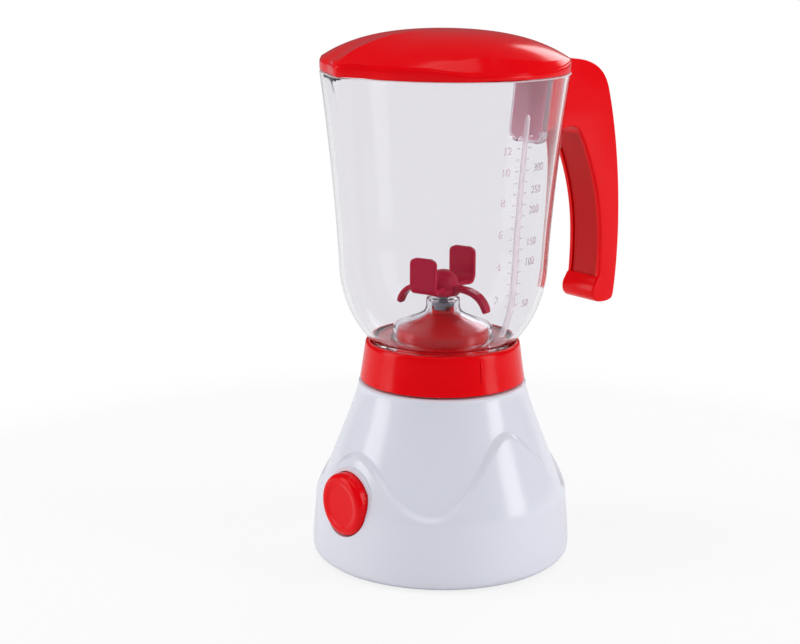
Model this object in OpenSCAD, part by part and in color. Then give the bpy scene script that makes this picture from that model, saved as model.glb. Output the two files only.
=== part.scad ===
// Toy blender: white base with a push button, red collar, clear lift-off jug with a handle,
// a hinged lid and a stirrer that is turned through a dog by a battery motor and gears.
// Millimetres. +Z is up and the origin is the middle of the underside. The button and the
// spout face -Y, the handle is at +Y and the measuring strip at +X.

/* [Base] */
// Radius of the base at its widest, just above its bottom edge
base_r = 49.5; // [48.5:0.5:53]
// Height of the white housing's flat top
base_h = 68.2; // [67:0.2:74]
// Radius of the housing at its top
base_top_r = 31.5; // [31:0.1:33]
// Radius where the skirt ends and the cone starts
shoulder_r = 46.2; // [45.5:0.1:48]
// Height where the cone starts
shoulder_h = 27; // [25:0.5:29]
// Wall of the housing
base_wall = 2.2; // [1.8:0.1:2.6]
// How far the waved skirt stands out from the cone
wave_step = 1.1; // [0.6:0.1:1.6]
// Height of the wave's two side crests
side_crest_h = 54; // [48:1:58]
// Height of the wave's front and back crests
front_crest_h = 45; // [43:1:50]
// Height of the bottom plate's edge that shows under the housing
plate_edge = 1.3; // [1:0.1:1.8]
// Thickness of the bottom plate
plate_t = 2.5; // [2.2:0.1:3]

/* [Button] */
// Radius of the button
button_r = 11.8; // [10:0.2:12.6]
// Height of the button's centre
button_h = 27.5; // [26:0.5:29]
// How far the button stands out from the skirt in the middle
button_proud = 2.3; // [1.5:0.1:4]
// Travel of the button
button_travel = 2; // [1:0.5:2.5]
// Wall of the button's cap
button_wall = 1.6; // [1.2:0.1:2.2]

/* [Collar] */
// Height of the red collar
collar_h = 14.8; // [13:0.2:18]
// How much narrower the collar is at its top than at its foot
collar_taper = 2.0; // [1:0.1:2.6]
// Depth that the jug's foot sits in the collar
foot_depth = 6.6; // [5:0.2:8]
// Wall of the collar's seat and tower
collar_wall = 1.8; // [1.4:0.1:2]
// Height of the groove between the housing and the collar
lip_gap = 0.8; // [0.4:0.1:1.4]

/* [Jug] */
// Height of the jug's rim above the collar
jug_h = 101.6; // [92:0.2:112]
// Outer radius of the jug's foot
foot_r = 27.2; // [26.6:0.1:27.6]
// Outer radius of the jug where the bowl meets the wall
belly_r = 39.3; // [37:0.1:41]
// Height of the bowl above the collar
belly_h = 29.6; // [26:0.2:33]
// Outer radius of the rim
rim_r = 46.3; // [44.5:0.1:48]
// Wall of the jug
jug_wall = 1.8; // [1.5:0.1:2.2]
// Thickness of the jug's floor
floor_t = 1.6; // [1.2:0.1:2]
// Radius of the raised hub in the jug's floor
hub_r = 19.2; // [18:0.1:20]
// Height of the hub's upright edge
hub_edge = 3.3; // [2.5:0.1:4]
// Height of the hub's neck above the floor
neck_h = 14.9; // [14:0.1:17]
// Outer radius of the neck
neck_r = 6.4; // [6.2:0.1:7]
// Wall of the hub
hub_wall = 1.4; // [1.2:0.1:1.5]
// Distance from the axis to the spout's tip
spout_reach = 51.3; // [50:0.1:54]
// Height of the spout's V below the rim
spout_drop = 20; // [16:0.5:26]
// Half width of the spout at the rim
spout_half = 12.4; // [10:0.2:15]
// Width of the measuring strip
strip_w = 2.6; // [2:0.1:3.4]
// How far the measuring strip stands out
strip_proud = 0.8; // [0.5:0.1:1.2]
// Distance from the rim down to the strip's top
strip_top_drop = 12; // [10:0.5:16]

/* [Lid] */
// Height of the lid's crown above the rim
lid_rise = 15; // [13:0.2:17]
// Height of the lid's edge above the rim
lid_edge = 4.6; // [4:0.1:5.4]
// Wall of the lid
lid_wall = 2; // [1.6:0.1:2.4]
// Height of the keel above the dome, over the spout
keel_rise = 2.8; // [1.5:0.1:4]
// Radius of the skirt under the lid
skirt_r = 39; // [36:0.5:40]

/* [Handle] */
// Width of the handle
handle_w = 18; // [16:0.5:21]
// Distance from the axis to the back of the grip
handle_reach = 85.2; // [80:0.2:90]
// Distance from the rim down to the handle's lower end
handle_drop = 96.4; // [88:0.2:98]
// Thickness of the grip
grip_t = 10.9; // [9.5:0.1:12.5]
// Wall of the handle
handle_wall = 2; // [1.6:0.1:2.4]
// Depth of the grip's cover below the side walls
cover_inset = 0.7; // [0.4:0.1:1.2]
// Thickness of the grip's cover
cover_t = 1.8; // [1.4:0.1:2.2]
// Width of the handle's tongue
tongue_w = 15.6; // [14:0.2:16]
// Thickness of the tongue
tongue_t = 1.5; // [1.2:0.1:1.8]
// Length of the tongue below the rim
tongue_l = 27.7; // [24:0.1:32]
// Wall of the clear pocket that holds the tongue
pocket_wall = 1.2; // [1:0.1:1.4]
// Radius of the hinge knuckles
knuckle_r = 2.3; // [2.1:0.1:2.4]
// Radius of the lid's hinge stubs
stub_r = 1.2; // [1:0.1:1.4]

/* [Stirrer] */
// Distance from the axis to the paddles' outer faces
paddle_reach = 15.8; // [14:0.2:17]
// Width of a paddle
paddle_w = 11; // [9:0.2:12]
// Height of the paddles' tops above the stirrer's underside
paddle_top = 16.2; // [14:0.2:19]
// Thickness of paddles and arms
strap_t = 1.8; // [1.5:0.1:2.2]
// Distance from the axis to the arms' tips
arm_reach = 19.6; // [18:0.2:22]
// Width of an arm
arm_w = 4.4; // [3.6:0.1:5]
// Drop of the arms' tips below the stirrer's underside
arm_drop = 5.4; // [4:0.1:6]
// Radius of the stirrer's round base
stirrer_r = 6.3; // [5.8:0.1:7]
// Height of the stirrer's dome above its underside
dome_h = 9.7; // [8:0.1:10.5]
// Radius of the stirrer's shaft
blade_shaft_r = 1; // [0.9:0.05:1.2]

/* [Drive] */
// Radius of the steel drive shaft
drive_shaft_r = 1.5; // [1.4:0.05:1.7]
// Module of the motor stage
fast_module = 0.6; // [0.55:0.01:0.62]
// Teeth of the motor's pinion
pinion_teeth = 10; // [10:1:11]
// Teeth of the idler's large wheel
wheel_teeth = 32; // [30:1:33]
// Module of the output stage
slow_module = 0.8; // [0.76:0.01:0.82]
// Teeth of the idler's small wheel
small_teeth = 12; // [12:1:13]
// Teeth of the output wheel
output_teeth = 36; // [34:1:37]
// Distance of the motor from the drive shaft
motor_offset = 15; // [14.5:0.1:16]
// Radius of the motor's can
motor_r = 10.2; // [9.8:0.1:10.4]
// Width across the motor's flats
motor_flat_w = 15.4; // [15:0.1:16]
// Room under the motor for its terminals and wires
motor_clear = 3.7; // [3.6:0.1:4.4]
// Radius of the gearbox's two decks
deck_r = 28; // [27.6:0.1:28.6]
// Thickness of a deck
deck_t = 2; // [1.6:0.1:2.2]
// Room for the gears between the decks
gear_room = 8; // [7.8:0.1:8.4]
// Height of the bosses that hang from the housing's top
boss_h = 6.5; // [6:0.1:7]

/* [Power] */
// Diameter of a cell
cell_d = 14.2; // [13.8:0.1:14.5]
// Length of a cell
cell_l = 50.2; // [49.5:0.1:50.5]
// Length of a fitted battery spring
cell_spring_l = 4.2; // [3.5:0.1:5]
// Wall of the battery box
box_wall = 1.5; // [1.2:0.1:2]
// Thickness of the battery door
door_t = 1.6; // [1.2:0.1:1.8]

/* [Hidden] */
$fn = 96;
run = 0.05;      // radial clearance of a running shaft
fit = 0.3;       // gap between pieces that only sit in each other
snug = 0.2;      // gap of the tongue in its pocket and of the cover in its handle

red = "#e3000b";
crimson = "#a50032";
white = "#e9ebf3";
steel = "#b9bcc2";
grey = "#8d9096";
brass = "#c9a24b";

// ---- lines and curves ----

function unit(v) = v / norm(v);
function bez(a, b, c, d, t) =
    pow(1 - t, 3) * a + 3 * pow(1 - t, 2) * t * b + 3 * (1 - t) * t * t * c + t * t * t * d;
function curve(a, b, c, d, n = 10) = [for (i = [0:n]) bez(a, b, c, d, i / n)];
function tangent(p, i) = unit(p[min(i + 1, len(p) - 1)] - p[max(i - 1, 0)]);
// A line moved sideways: to its left for a positive distance, seen along its direction
function shifted(p, d) =
    [for (i = [0:len(p) - 1]) p[i] + d * [-tangent(p, i)[1], tangent(p, i)[0]]];
function reversed(p) = [for (i = [len(p) - 1:-1:0]) p[i]];
function ring_points(r, n = 96) = [for (i = [0:n - 1]) r * [cos(360 * i / n), sin(360 * i / n)]];

module spun(points) rotate_extrude() polygon(points);
// A plate drawn in the (Y, Z) plane, centred on X = 0
module side_plate(points, width) rotate([90, 0, 90]) linear_extrude(width, center = true) polygon(points);
module box(low, high) translate(low) cube(high - low);
module ring(r_out, r_in, h) difference() {
    cylinder(r = r_out, h = h);
    translate([0, 0, -1]) cylinder(r = r_in, h = h + 2);
}

// ---- swept tubes: wires and coils ----

function carried(n, t) = unit(n - (n * t) * t);
function normals(ts, n, i = 0) =
    i == len(ts) ? [] : let(m = carried(n, ts[i])) concat([m], normals(ts, m, i + 1));
module tube(path, r, start, sides = 8) {
    ts = [for (i = [0:len(path) - 1]) tangent3(path, i)];
    ns = normals(ts, start);
    points = [for (i = [0:len(path) - 1]) for (k = [0:sides - 1])
        let(a = 360 * k / sides) path[i] + r * (cos(a) * ns[i] + sin(a) * cross(ts[i], ns[i]))];
    last = (len(path) - 1) * sides;
    walls = [for (i = [0:len(path) - 2]) for (k = [0:sides - 1])
        let(a = i * sides + k, b = i * sides + (k + 1) % sides)
        each [[a, a + sides, b], [b, a + sides, b + sides]]];
    ends = [for (k = [1:sides - 2]) each [[0, k, k + 1], [last, last + k + 1, last + k]]];
    polyhedron(points, concat(walls, ends));
}
function tangent3(p, i) = unit(p[min(i + 1, len(p) - 1)] - p[max(i - 1, 0)]);
function coil_path(r, length, turns, steps = 10) =
    [for (i = [0:turns * steps]) let(a = 360 * i / steps)
        [r * cos(a), r * sin(a), length * i / (turns * steps)]];
module coil(r, wire_r, length, turns) {
    translate([0, 0, wire_r])
        tube(coil_path(r, length - 2 * wire_r, turns), wire_r, [1, 0, 0], 6);
}

// ---- gears ----

pressure = 25;
addendum = 0.9;
dedendum = 1.15;
backlash = 0.14;
function involute(a) = tan(a) * 180 / PI - a;
// Half of a tooth's angle at radius r
function half_tooth(r, rp, teeth) =
    let(rb = rp * cos(pressure), q = max(r, rb))
    90 / teeth - backlash / rp * 90 / PI + involute(pressure) - involute(acos(rb / q));
function gear_outline(teeth, m, flank = 4) =
    let(rp = m * teeth / 2, rr = rp - dedendum * m, ra = rp + addendum * m,
        r0 = max(rp * cos(pressure), rr),
        radii = concat([rr], [for (i = [0:flank]) r0 + (ra - r0) * i / flank]))
    [for (t = [0:teeth - 1]) let(c = 360 * t / teeth) each concat(
        [for (r = radii) let(a = c - half_tooth(r, rp, teeth)) r * [cos(a), sin(a)]],
        [for (r = reversed(radii)) let(a = c + half_tooth(r, rp, teeth)) r * [cos(a), sin(a)]])];
// A wheel whose first tooth points at an angle, or whose first gap does
module wheel(teeth, m, h, angle, gap_first, bore)
    rotate(angle + (gap_first ? 180 / teeth : 0)) linear_extrude(h) difference() {
        polygon(gear_outline(teeth, m));
        circle(r = bore);
    }

// ---- screws ----

module screw(head_r, head_h, shank_r, length) {
    translate([0, 0, -head_h]) difference() {
        cylinder(r = head_r, h = head_h);
        for (a = [0, 90]) rotate(a) translate([-head_r * 0.6, -0.3, -0.01]) cube([head_r * 1.2, 0.6,
            head_h * 0.5]);
    }
    cylinder(r = shank_r, h = length);
}

// ---- the base's outline ----

skirt_low_z = 5;
shoulder_z = shoulder_h;
cone = curve([shoulder_r, shoulder_z], [shoulder_r - 3.9, shoulder_z + 12.5],
    [base_top_r + 2.9, base_h - 12.3], [base_top_r, base_h], 12);
skirt_top_r = shoulder_r + wave_step;
skirt = concat([[base_r - 1.4, plate_edge], [base_r - 0.5, plate_edge + 1.2]],
    [[base_r, skirt_low_z], [skirt_top_r, shoulder_z]]);
inner_cone = shifted(cone, base_wall);
roof_z = base_h - base_wall;
inner_r = base_r - base_wall - 0.5;

// Radius of the cone at height z, read off the curve
function cone_r(z) = lookup(z, [for (p = cone) [p[1], p[0]]]);
// Height of the wave's line at an angle away from a crest
function wave_z(a, crest) = shoulder_z + (crest - shoulder_z) * (1 + cos(4 * a)) / 2;
function arch(crest) = concat(
    [for (a = [-45:3:45]) let(z = wave_z(a, crest), r = cone_r(z) + wave_step) [r * sin(a), z]],
    [[base_r, shoulder_z - 1], [-base_r, shoulder_z - 1]]);

module arch_prism(crest, angle) rotate(angle) rotate([90, 0, 90]) linear_extrude(base_r + 1)
    polygon(arch(crest));

// ---- the jug's outline ----

collar_z = base_h + lip_gap;
collar_top = collar_z + collar_h;
foot_z = collar_top - foot_depth;
seat_gap = 0.2;
groove_z = foot_z - seat_gap;
floor_z = collar_top - fit;
floor_top = floor_z + floor_t;
island_z = floor_z - fit;
rim_z = collar_top + jug_h;
belly_z = collar_top + belly_h;
bowl = curve([foot_r, collar_top + 0.1], [foot_r + 5, collar_top + 4.8],
    [belly_r - 0.5, belly_z - 14.5], [belly_r, belly_z], 10);
flank = curve([belly_r, belly_z], [belly_r + 0.9, belly_z + 17.5],
    [rim_r - 4, rim_z - 30.4], [rim_r, rim_z], 10);
jug_line = concat(bowl, [for (i = [1:len(flank) - 1]) flank[i]]);
function jug_r(z) = lookup(z, [for (p = jug_line) [p[1], p[0]]]);
module jug_solid(d) spun(concat([[0, collar_top - 1]],
    [[foot_r, collar_top - 1]], shifted(jug_line, d), [[0, rim_z]]));
// The shell between two depths below the jug's outer face, drawn on above the rim by up
function rim_end(d, up) = up > 0 ? [[rim_r - d + up * 0.13, rim_z + up]] : [];
module jug_band(d1, d2, up = 0) spun(concat(shifted(jug_line, d1), rim_end(d1, up),
    rim_end(d2, up), reversed(shifted(jug_line, d2))));

neck_top = floor_top + neck_h;
hub_line = concat([[hub_r, floor_top], [hub_r - 0.2, floor_top + hub_edge]],
    curve([hub_r - 1.7, floor_top + hub_edge + 1.4], [hub_r - 6.7, floor_top + hub_edge + 3.2],
        [neck_r + 0.8, neck_top - 7.4], [neck_r, neck_top - 3.8], 8),
    [[neck_r, neck_top]]);
cap_z = neck_top - 1.2;
neck_in = neck_r - hub_wall;
bush_r = 2.4;

// ---- the dogs that join shaft and stirrer ----

dog_r = neck_in - 0.8;
dog_t = 1.5;
lug_h = 1.3;
tower_top = cap_z - fit - 2 * dog_t - lug_h - 2 * fit;
dog_z = tower_top + fit;
jug_dog_z = cap_z - fit - dog_t;
tower_gap = 0.45;
tower_bush_r = 3;

// ---- the drive ----

cover_top = roof_z - boss_h;
cover_z = cover_top - deck_t;
deck_top = cover_z - gear_room;
deck_z = deck_top - deck_t;
fast_centres = fast_module * (pinion_teeth + wheel_teeth) / 2;
slow_centres = slow_module * (small_teeth + output_teeth) / 2;
idler_angle = 70;
motor_angle = idler_angle + acos((pow(slow_centres, 2) + pow(motor_offset, 2) - pow(fast_centres, 2))
    / (2 * slow_centres * motor_offset));
idler_at = slow_centres * [cos(idler_angle), sin(idler_angle), 0];
motor_at = motor_offset * [cos(motor_angle), sin(motor_angle), 0];
to_motor = atan2(motor_at[1] - idler_at[1], motor_at[0] - idler_at[0]);
wheel_h = 2.4;
wheel_z = deck_top + 0.7;
output_h = 3;
output_z = wheel_z + wheel_h + 0.8;
small_h = cover_z - 0.7 - wheel_z - wheel_h;
pinion_h = wheel_h + 0.3;
axle_r = 1;
motor_shaft_r = 1;
post_at = deck_r - 4;
post_angles = [30, 150, 270];
post_r = 3;
screw_r = 1.25;
motor_nose_r = 3;
collar_screw_at = 20.6;
collar_screw_angles = [90, 210, 330];

// ---- the battery box ----

contact_t = 0.5;
cell_z = plate_t + 0.2 + cell_d / 2;
cell_y = cell_d / 2 + 0.4;
bay_l = cell_l + cell_spring_l + 2 * contact_t + 0.4;
bay_w = 2 * cell_d + 1.6;
bay_top = cell_z + cell_d / 2 + 0.4;
box_top = bay_top + box_wall;
motor_z = box_top + motor_clear;
motor_l = deck_z - motor_z;
door_l = bay_l + 7;
door_w = bay_w - 0.4;
door_screw_x = bay_l / 2 + 4.8;
plate_screw_at = 41;
plate_screw_angles = [45:90:315];

// ---- the button ----

skirt_at_button = cone_r(button_h) + wave_step;
button_face = skirt_at_button + button_proud;
guide_end = button_face - 10.6;
guide_wall = 1.4;
flange_r = button_r + 1.5;
flange_t = 1.2;
flange_y = guide_end - fit;
spring_r = 8.6;
spring_wire_r = 0.4;
stem_r = 2.5;
bridge_t = 0.5;
bridge_y = flange_y - flange_t - 2.2;
contact_y = bridge_y - bridge_t - button_travel - fit;
block_y = contact_y - contact_t;
block_d = 4;
block_half = 10;

// Turns a shape drawn along +Z so that it points to -Y at the button's height
module at_button() translate([0, 0, button_h]) rotate([90, 0, 0]) children();

// ---- base ----

module base_housing() color(white) difference() {
    union() {
        difference() {
            union() {
                spun(concat([[0, plate_edge]], skirt, [[skirt_top_r, shoulder_z], [shoulder_r, shoulder_z]],
                    cone, [[0, base_h]]));
                intersection() {
                    spun(concat([[0, shoulder_z - 1]], [[skirt_top_r, shoulder_z - 1]],
                        shifted(cone, -wave_step), [[0, base_h]]));
                    union() {
                        for (a = [0, 180]) arch_prism(side_crest_h, a);
                        for (a = [90, 270]) arch_prism(front_crest_h, a);
                    }
                }
            }
            spun(concat([[0, -1], [inner_r, -1], [inner_r, skirt_low_z]],
                [[skirt_top_r - base_wall - 0.3, shoulder_z]],
                [for (p = inner_cone) if (p[1] > shoulder_z + 1 && p[1] < roof_z - 0.5) p],
                [[base_top_r - base_wall, roof_z], [0, roof_z]]));
        }
        for (a = plate_screw_angles) rotate(a) plate_boss();
        for (a = post_angles) rotate(a) translate([post_at, 0, cover_top]) cylinder(r = post_r,
            h = boss_h + 1);
        intersection() {
            at_button() cylinder(r = button_r + fit + guide_wall, h = skirt_at_button);
            at_button() translate([0, 0, guide_end]) cylinder(r = button_r + fit + guide_wall, h = 30);
            spun(concat([[0, plate_edge], [base_r - 1, plate_edge], [base_r - 1, skirt_low_z]],
                [[skirt_top_r - 1, shoulder_z]], shifted(cone, 1), [[0, base_h]]));
        }
    }
    at_button() translate([0, 0, guide_end - 1]) cylinder(r = button_r + fit, h = 30);
    translate([0, 0, roof_z - 1]) cylinder(r = 6, h = base_wall + 2);
    for (a = collar_screw_angles) rotate(a) translate([collar_screw_at, 0, roof_z - 1])
        cylinder(r = screw_r + 0.2, h = base_wall + 2);
    for (a = post_angles) rotate(a) translate([post_at, 0, cover_top - 1]) cylinder(r = screw_r,
        h = boss_h + 1);
    for (a = plate_screw_angles) rotate(a) translate([plate_screw_at, 0, 0]) cylinder(r = screw_r, h = 16);
}

// A boss for a plate screw, which stands inside the skirt and grows into the cone's wall
module plate_boss() intersection() {
    translate([plate_screw_at, 0, plate_t + snug]) cylinder(r = 3.4, h = 32);
    spun(concat([[0, 0], [base_r - 1, 0], [skirt_top_r - 1, shoulder_z]], shifted(cone, 1), [[0, base_h]]));
}

module base_plate() color(white) difference() {
    union() {
        spun([[0, 0], [base_r - 4.7, 0], [base_r - 2.5, 0.5], [base_r - 1.5, plate_edge - 0.05],
            [inner_r - 0.15, plate_edge - 0.05], [inner_r - 0.15, plate_t], [0, plate_t]]);
        box([-bay_l / 2 - box_wall, -bay_w / 2 - box_wall, 0], [bay_l / 2 + box_wall, bay_w / 2
            + box_wall, box_top]);
        translate([door_screw_x, 0, 0]) cylinder(r = 3, h = 9);
        box([-7, -block_y, 0], [7, -block_y + block_d, button_h - block_half]);
    }
    box([-bay_l / 2, -bay_w / 2, -1], [bay_l / 2, bay_w / 2, bay_top]);
    door_recess();
    translate([door_screw_x, 0, -1]) cylinder(r = screw_r, h = 8);
    for (s = [-1, 1]) box([bay_l / 2 - contact_t - 0.1, s * cell_y - 2.1, bay_top - 1],
        [bay_l / 2, s * cell_y + 2.1, box_top + 1]);
    for (a = plate_screw_angles) rotate(a) translate([plate_screw_at, 0, 0]) {
        translate([0, 0, -1]) cylinder(r = screw_r + 0.2, h = 5);
        translate([0, 0, -1]) cylinder(r = 2.8, h = 1.9);
    }
}

module door_recess() {
    box([-door_l / 2 + 3.5 - snug, -door_w / 2 - snug, -1], [door_screw_x + 3.2 + snug, door_w / 2
        + snug, door_t + 0.3]);
}

module battery_door() color(white) difference() {
    union() {
        box([-door_l / 2 + 3.5, -door_w / 2, 0], [door_screw_x + 3.2, door_w / 2, door_t]);
        box([-bay_l / 2 + 0.2, -bay_w / 4, 0], [-bay_l / 2 + 1.6, bay_w / 4, plate_t]);
    }
    translate([door_screw_x, 0, -1]) cylinder(r = screw_r + 0.2, h = 4);
    translate([door_screw_x, 0, -1]) cylinder(r = 2.5, h = 2);
}

module battery_door_screw() color(steel) translate([door_screw_x, 0, 1]) screw(2.3, 0.7, screw_r, 6);

module plate_screws() color(steel) for (a = plate_screw_angles)
    rotate(a) translate([plate_screw_at, 0, 0.9]) screw(2.5, 0.7, screw_r, 12);

module cell() rotate([0, 90, 0]) union() {
    cylinder(r = cell_d / 2, h = cell_l - 1);
    cylinder(r = 2.7, h = cell_l);
}
cell_start = -bay_l / 2 + contact_t + cell_spring_l;
module batteries() color(grey) for (s = [-1, 1])
    translate([0, s * cell_y, cell_z]) rotate(s > 0 ? 0 : 180) translate([cell_start, 0, 0]) cell();

module battery_contacts() color(brass) {
    for (s = [-1, 1]) {
        box([bay_l / 2 - contact_t, s * cell_y - 5, cell_z - 6], [bay_l / 2, s * cell_y + 5, bay_top
            - 0.2]);
        box([bay_l / 2 - contact_t, s * cell_y - 2, bay_top - 1], [bay_l / 2, s * cell_y + 2, box_top
            + 2.5]);
    }
    box([-bay_l / 2, -cell_y - 5, cell_z - 6], [-bay_l / 2 + contact_t, cell_y + 5, bay_top - 0.2]);
}

module battery_springs() color(steel) for (s = [-1, 1])
    translate([0, s * cell_y, cell_z]) rotate(s > 0 ? 0 : 180)
        translate([-bay_l / 2 + contact_t + 0.1, 0, 0]) rotate([0, 90, 0])
            coil(3.6, 0.35, cell_spring_l - 0.2, 3);

// ---- collar ----

// The red collar: an outer ring, a groove for the jug's foot, a raised seat and the drive tower
ring_in = foot_r + fit;
seat_r = foot_r - 1.8 - fit;
collar_r = base_top_r - 0.1;
tower_line = [for (p = shifted(hub_line, hub_wall + tower_gap)) if (p[1] < tower_top - 0.4) p];
tower_skin = shifted(hub_line, hub_wall + tower_gap + collar_wall);
tower_inside = [for (i = [0:len(tower_skin) - 1])
    if (i != 1 && tower_skin[i][0] > tower_bush_r + collar_wall + 0.6) tower_skin[i]];
bush_h = 6.4;
boss_gap = 0.1;   // the screws pull the collar down on its wall, and not on its bosses
bayonet_r = hub_r - hub_wall - 0.25;

module collar() color(red) difference() {
    union() {
        spun(concat([[collar_r - collar_wall, collar_z], [collar_r, collar_z], [collar_r - 0.7,
            collar_z + collar_h * 0.3],
            [collar_r - 1.2, collar_z + collar_h * 0.55], [collar_r - collar_taper + 0.3, collar_top - 1.2],
            [collar_r - collar_taper - 0.1, collar_top - 0.4], [collar_r - collar_taper - 0.8, collar_top],
            [ring_in + 0.3, collar_top], [ring_in, collar_top - 0.3], [ring_in, groove_z],
            [seat_r, groove_z], [seat_r, island_z - 0.3], [seat_r - 0.3, island_z],
            [tower_line[0][0], island_z]], tower_line, [[tower_line[len(tower_line) - 1][0] - 0.8,
                tower_top],
            [tower_bush_r, tower_top], [tower_bush_r, tower_top - bush_h],
            [tower_bush_r + collar_wall, tower_top - bush_h],
            [tower_bush_r + collar_wall, tower_top - collar_wall - 0.2]],
            reversed(tower_inside), [[tower_inside[0][0], island_z - collar_wall],
            [seat_r - collar_wall, island_z - collar_wall], [seat_r - collar_wall, base_h],
            [seat_r, base_h], [seat_r, groove_z - collar_wall],
            [collar_r - collar_wall, groove_z - collar_wall]]));
        for (a = collar_screw_angles) rotate(a) translate([collar_screw_at, 0, base_h + boss_gap])
            cylinder(r = 3, h = island_z - base_h - 1);
        // Two low catches on the tower's upright side
        for (a = [-80, 100]) rotate(a) intersection() {
            translate([0, 0, island_z + 1]) ring(bayonet_r, tower_line[0][0] - 0.6, 1.4);
            box([0, -2.6, island_z], [hub_r, 2.6, island_z + 4]);
        }
    }
    for (a = collar_screw_angles) rotate(a) translate([collar_screw_at, 0, base_h - 1])
        cylinder(r = screw_r, h = 11);
}

module collar_screws() color(steel) for (a = collar_screw_angles)
    rotate(a) translate([collar_screw_at, 0, roof_z]) screw(2.5, 1.6, screw_r, 11);

module tower_bush() color(grey) translate([0, 0, tower_top - bush_h]) ring(tower_bush_r,
    drive_shaft_r + run, bush_h);

// ---- gearbox and motor ----

module post(h) difference() {
    cylinder(r = post_r, h = h);
    translate([0, 0, -1]) cylinder(r = screw_r + 0.15, h = h + 2);
}

module gearbox_frame() color(grey) {
    difference() {
        union() {
            translate([0, 0, deck_z]) cylinder(r = deck_r, h = deck_t);
            translate(motor_at + [0, 0, deck_z - 10]) cylinder(r = motor_r + 0.15 + 1.4, h = 10.5);
        }
        translate([0, 0, deck_z - 11]) cylinder(r = drive_shaft_r + run, h = deck_t + 12);
        translate(idler_at + [0, 0, deck_z - 1]) cylinder(r = axle_r, h = deck_t + 2);
        translate(motor_at + [0, 0, deck_z - 11]) cylinder(r = motor_r + 0.15, h = 11);
        translate(motor_at + [0, 0, deck_z - 1]) cylinder(r = motor_nose_r + 0.1, h = deck_t + 2);
        for (a = post_angles) rotate(a) translate([post_at, 0, deck_z - 1]) cylinder(r = screw_r
            + 0.15, h = deck_t + 2);
    }
    for (a = post_angles) rotate(a) translate([post_at, 0, deck_top]) post(gear_room);
}

module gearbox_cover() color(grey) difference() {
    translate([0, 0, cover_z]) cylinder(r = deck_r, h = deck_t);
    translate([0, 0, cover_z - 1]) cylinder(r = drive_shaft_r + run, h = deck_t + 2);
    translate(idler_at + [0, 0, cover_z - 1]) cylinder(r = axle_r, h = deck_t + 2);
    for (a = post_angles) rotate(a) translate([post_at, 0, cover_z - 1]) cylinder(r = screw_r + 0.15,
        h = deck_t + 2);
}

module gearbox_screws() color(steel) for (a = post_angles)
    rotate(a) translate([post_at, 0, deck_z]) screw(2.4, 1.6, screw_r, cover_top + 5 - deck_z);

module idler_axle() color(steel) translate(idler_at + [0, 0, deck_z]) cylinder(r = axle_r,
    h = cover_top - deck_z);

module idler_gear() color("#f2f0e6") difference() {
    union() {
        translate(idler_at + [0, 0, wheel_z])
            wheel(wheel_teeth, fast_module, wheel_h, to_motor, false, axle_r + run);
        translate(idler_at + [0, 0, wheel_z + wheel_h - 0.01])
            wheel(small_teeth, slow_module, small_h, idler_angle + 180, true, axle_r + run);
        translate(idler_at + [0, 0, deck_top + fit]) cylinder(r = 2.6, h = wheel_z - deck_top);
    }
    translate(idler_at + [0, 0, deck_top]) cylinder(r = axle_r + run, h = gear_room);
}

module output_gear() color("#f2f0e6") difference() {
    union() {
        translate([0, 0, output_z])
            wheel(output_teeth, slow_module, output_h, idler_angle, false, drive_shaft_r);
        translate([0, 0, deck_top + fit]) cylinder(r = 4, h = gear_room - 2 * fit);
    }
    translate([0, 0, deck_top]) cylinder(r = drive_shaft_r, h = gear_room);
}

can_wall = 1;
module motor_shape(shrink) intersection() {
    circle(r = motor_r - shrink);
    square([2 * motor_r, motor_flat_w - 2 * shrink], center = true);
}
module motor_can() color(steel) translate(motor_at + [0, 0, motor_z]) rotate(motor_angle) {
    difference() {
        union() {
            linear_extrude(motor_l) motor_shape(0);
            translate([0, 0, motor_l]) cylinder(r = motor_nose_r, h = 1.4);
        }
        translate([0, 0, -1]) linear_extrude(motor_l) motor_shape(can_wall);
        cylinder(r = motor_shaft_r + run, h = motor_l + 3);
    }
}

module motor_end_cap() color("#3a3d44") translate(motor_at + [0, 0, motor_z]) rotate(motor_angle) {
    difference() {
        linear_extrude(2.4) motor_shape(can_wall + 0.05);
        translate([0, 0, 0.8]) cylinder(r = motor_shaft_r + run, h = 3);
    }
    for (s = [-1, 1]) translate([s * 6.5 - 1, -0.3, -1.6]) cube([2, 0.6, 1.8]);
}

rotor_r = 6;
rotor_z = motor_z + 6;
rotor_l = motor_l - 13;
module motor_magnets() color("#4b4b4f") translate(motor_at + [0, 0, rotor_z]) rotate(motor_angle)
    difference() {
        linear_extrude(rotor_l) motor_shape(can_wall + 0.05);
        translate([0, 0, -1]) cylinder(r = rotor_r + 0.5, h = rotor_l + 2);
        box([-3, -20, -1], [3, 20, rotor_l + 1]);
    }

// The three-pole rotor
module motor_rotor() color("#a8672f") translate(motor_at + [0, 0, rotor_z]) difference() {
    union() {
        cylinder(r = 2.6, h = rotor_l);
        for (a = [0:120:240]) rotate(a) intersection() {
            cylinder(r = rotor_r, h = rotor_l);
            union() {
                translate([0, -1.2, 0]) cube([rotor_r + 1, 2.4, rotor_l]);
                translate([rotor_r - 1.6, -4, 0]) cube([3, 8, rotor_l]);
            }
        }
    }
    translate([0, 0, -1]) cylinder(r = motor_shaft_r, h = rotor_l + 2);
}

module motor_shaft() color(steel) translate(motor_at + [0, 0, motor_z + 1]) cylinder(r = motor_shaft_r,
    h = wheel_z + pinion_h + 0.1 - motor_z - 1);

module motor_pinion() color(brass) translate(motor_at + [0, 0, wheel_z - 0.1])
    wheel(pinion_teeth, fast_module, pinion_h, to_motor + 180, true, motor_shaft_r);

module drive_shaft() color(steel) translate([0, 0, deck_z - 0.5]) cylinder(r = drive_shaft_r,
    h = dog_z + dog_t + 0.5 - deck_z);

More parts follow.
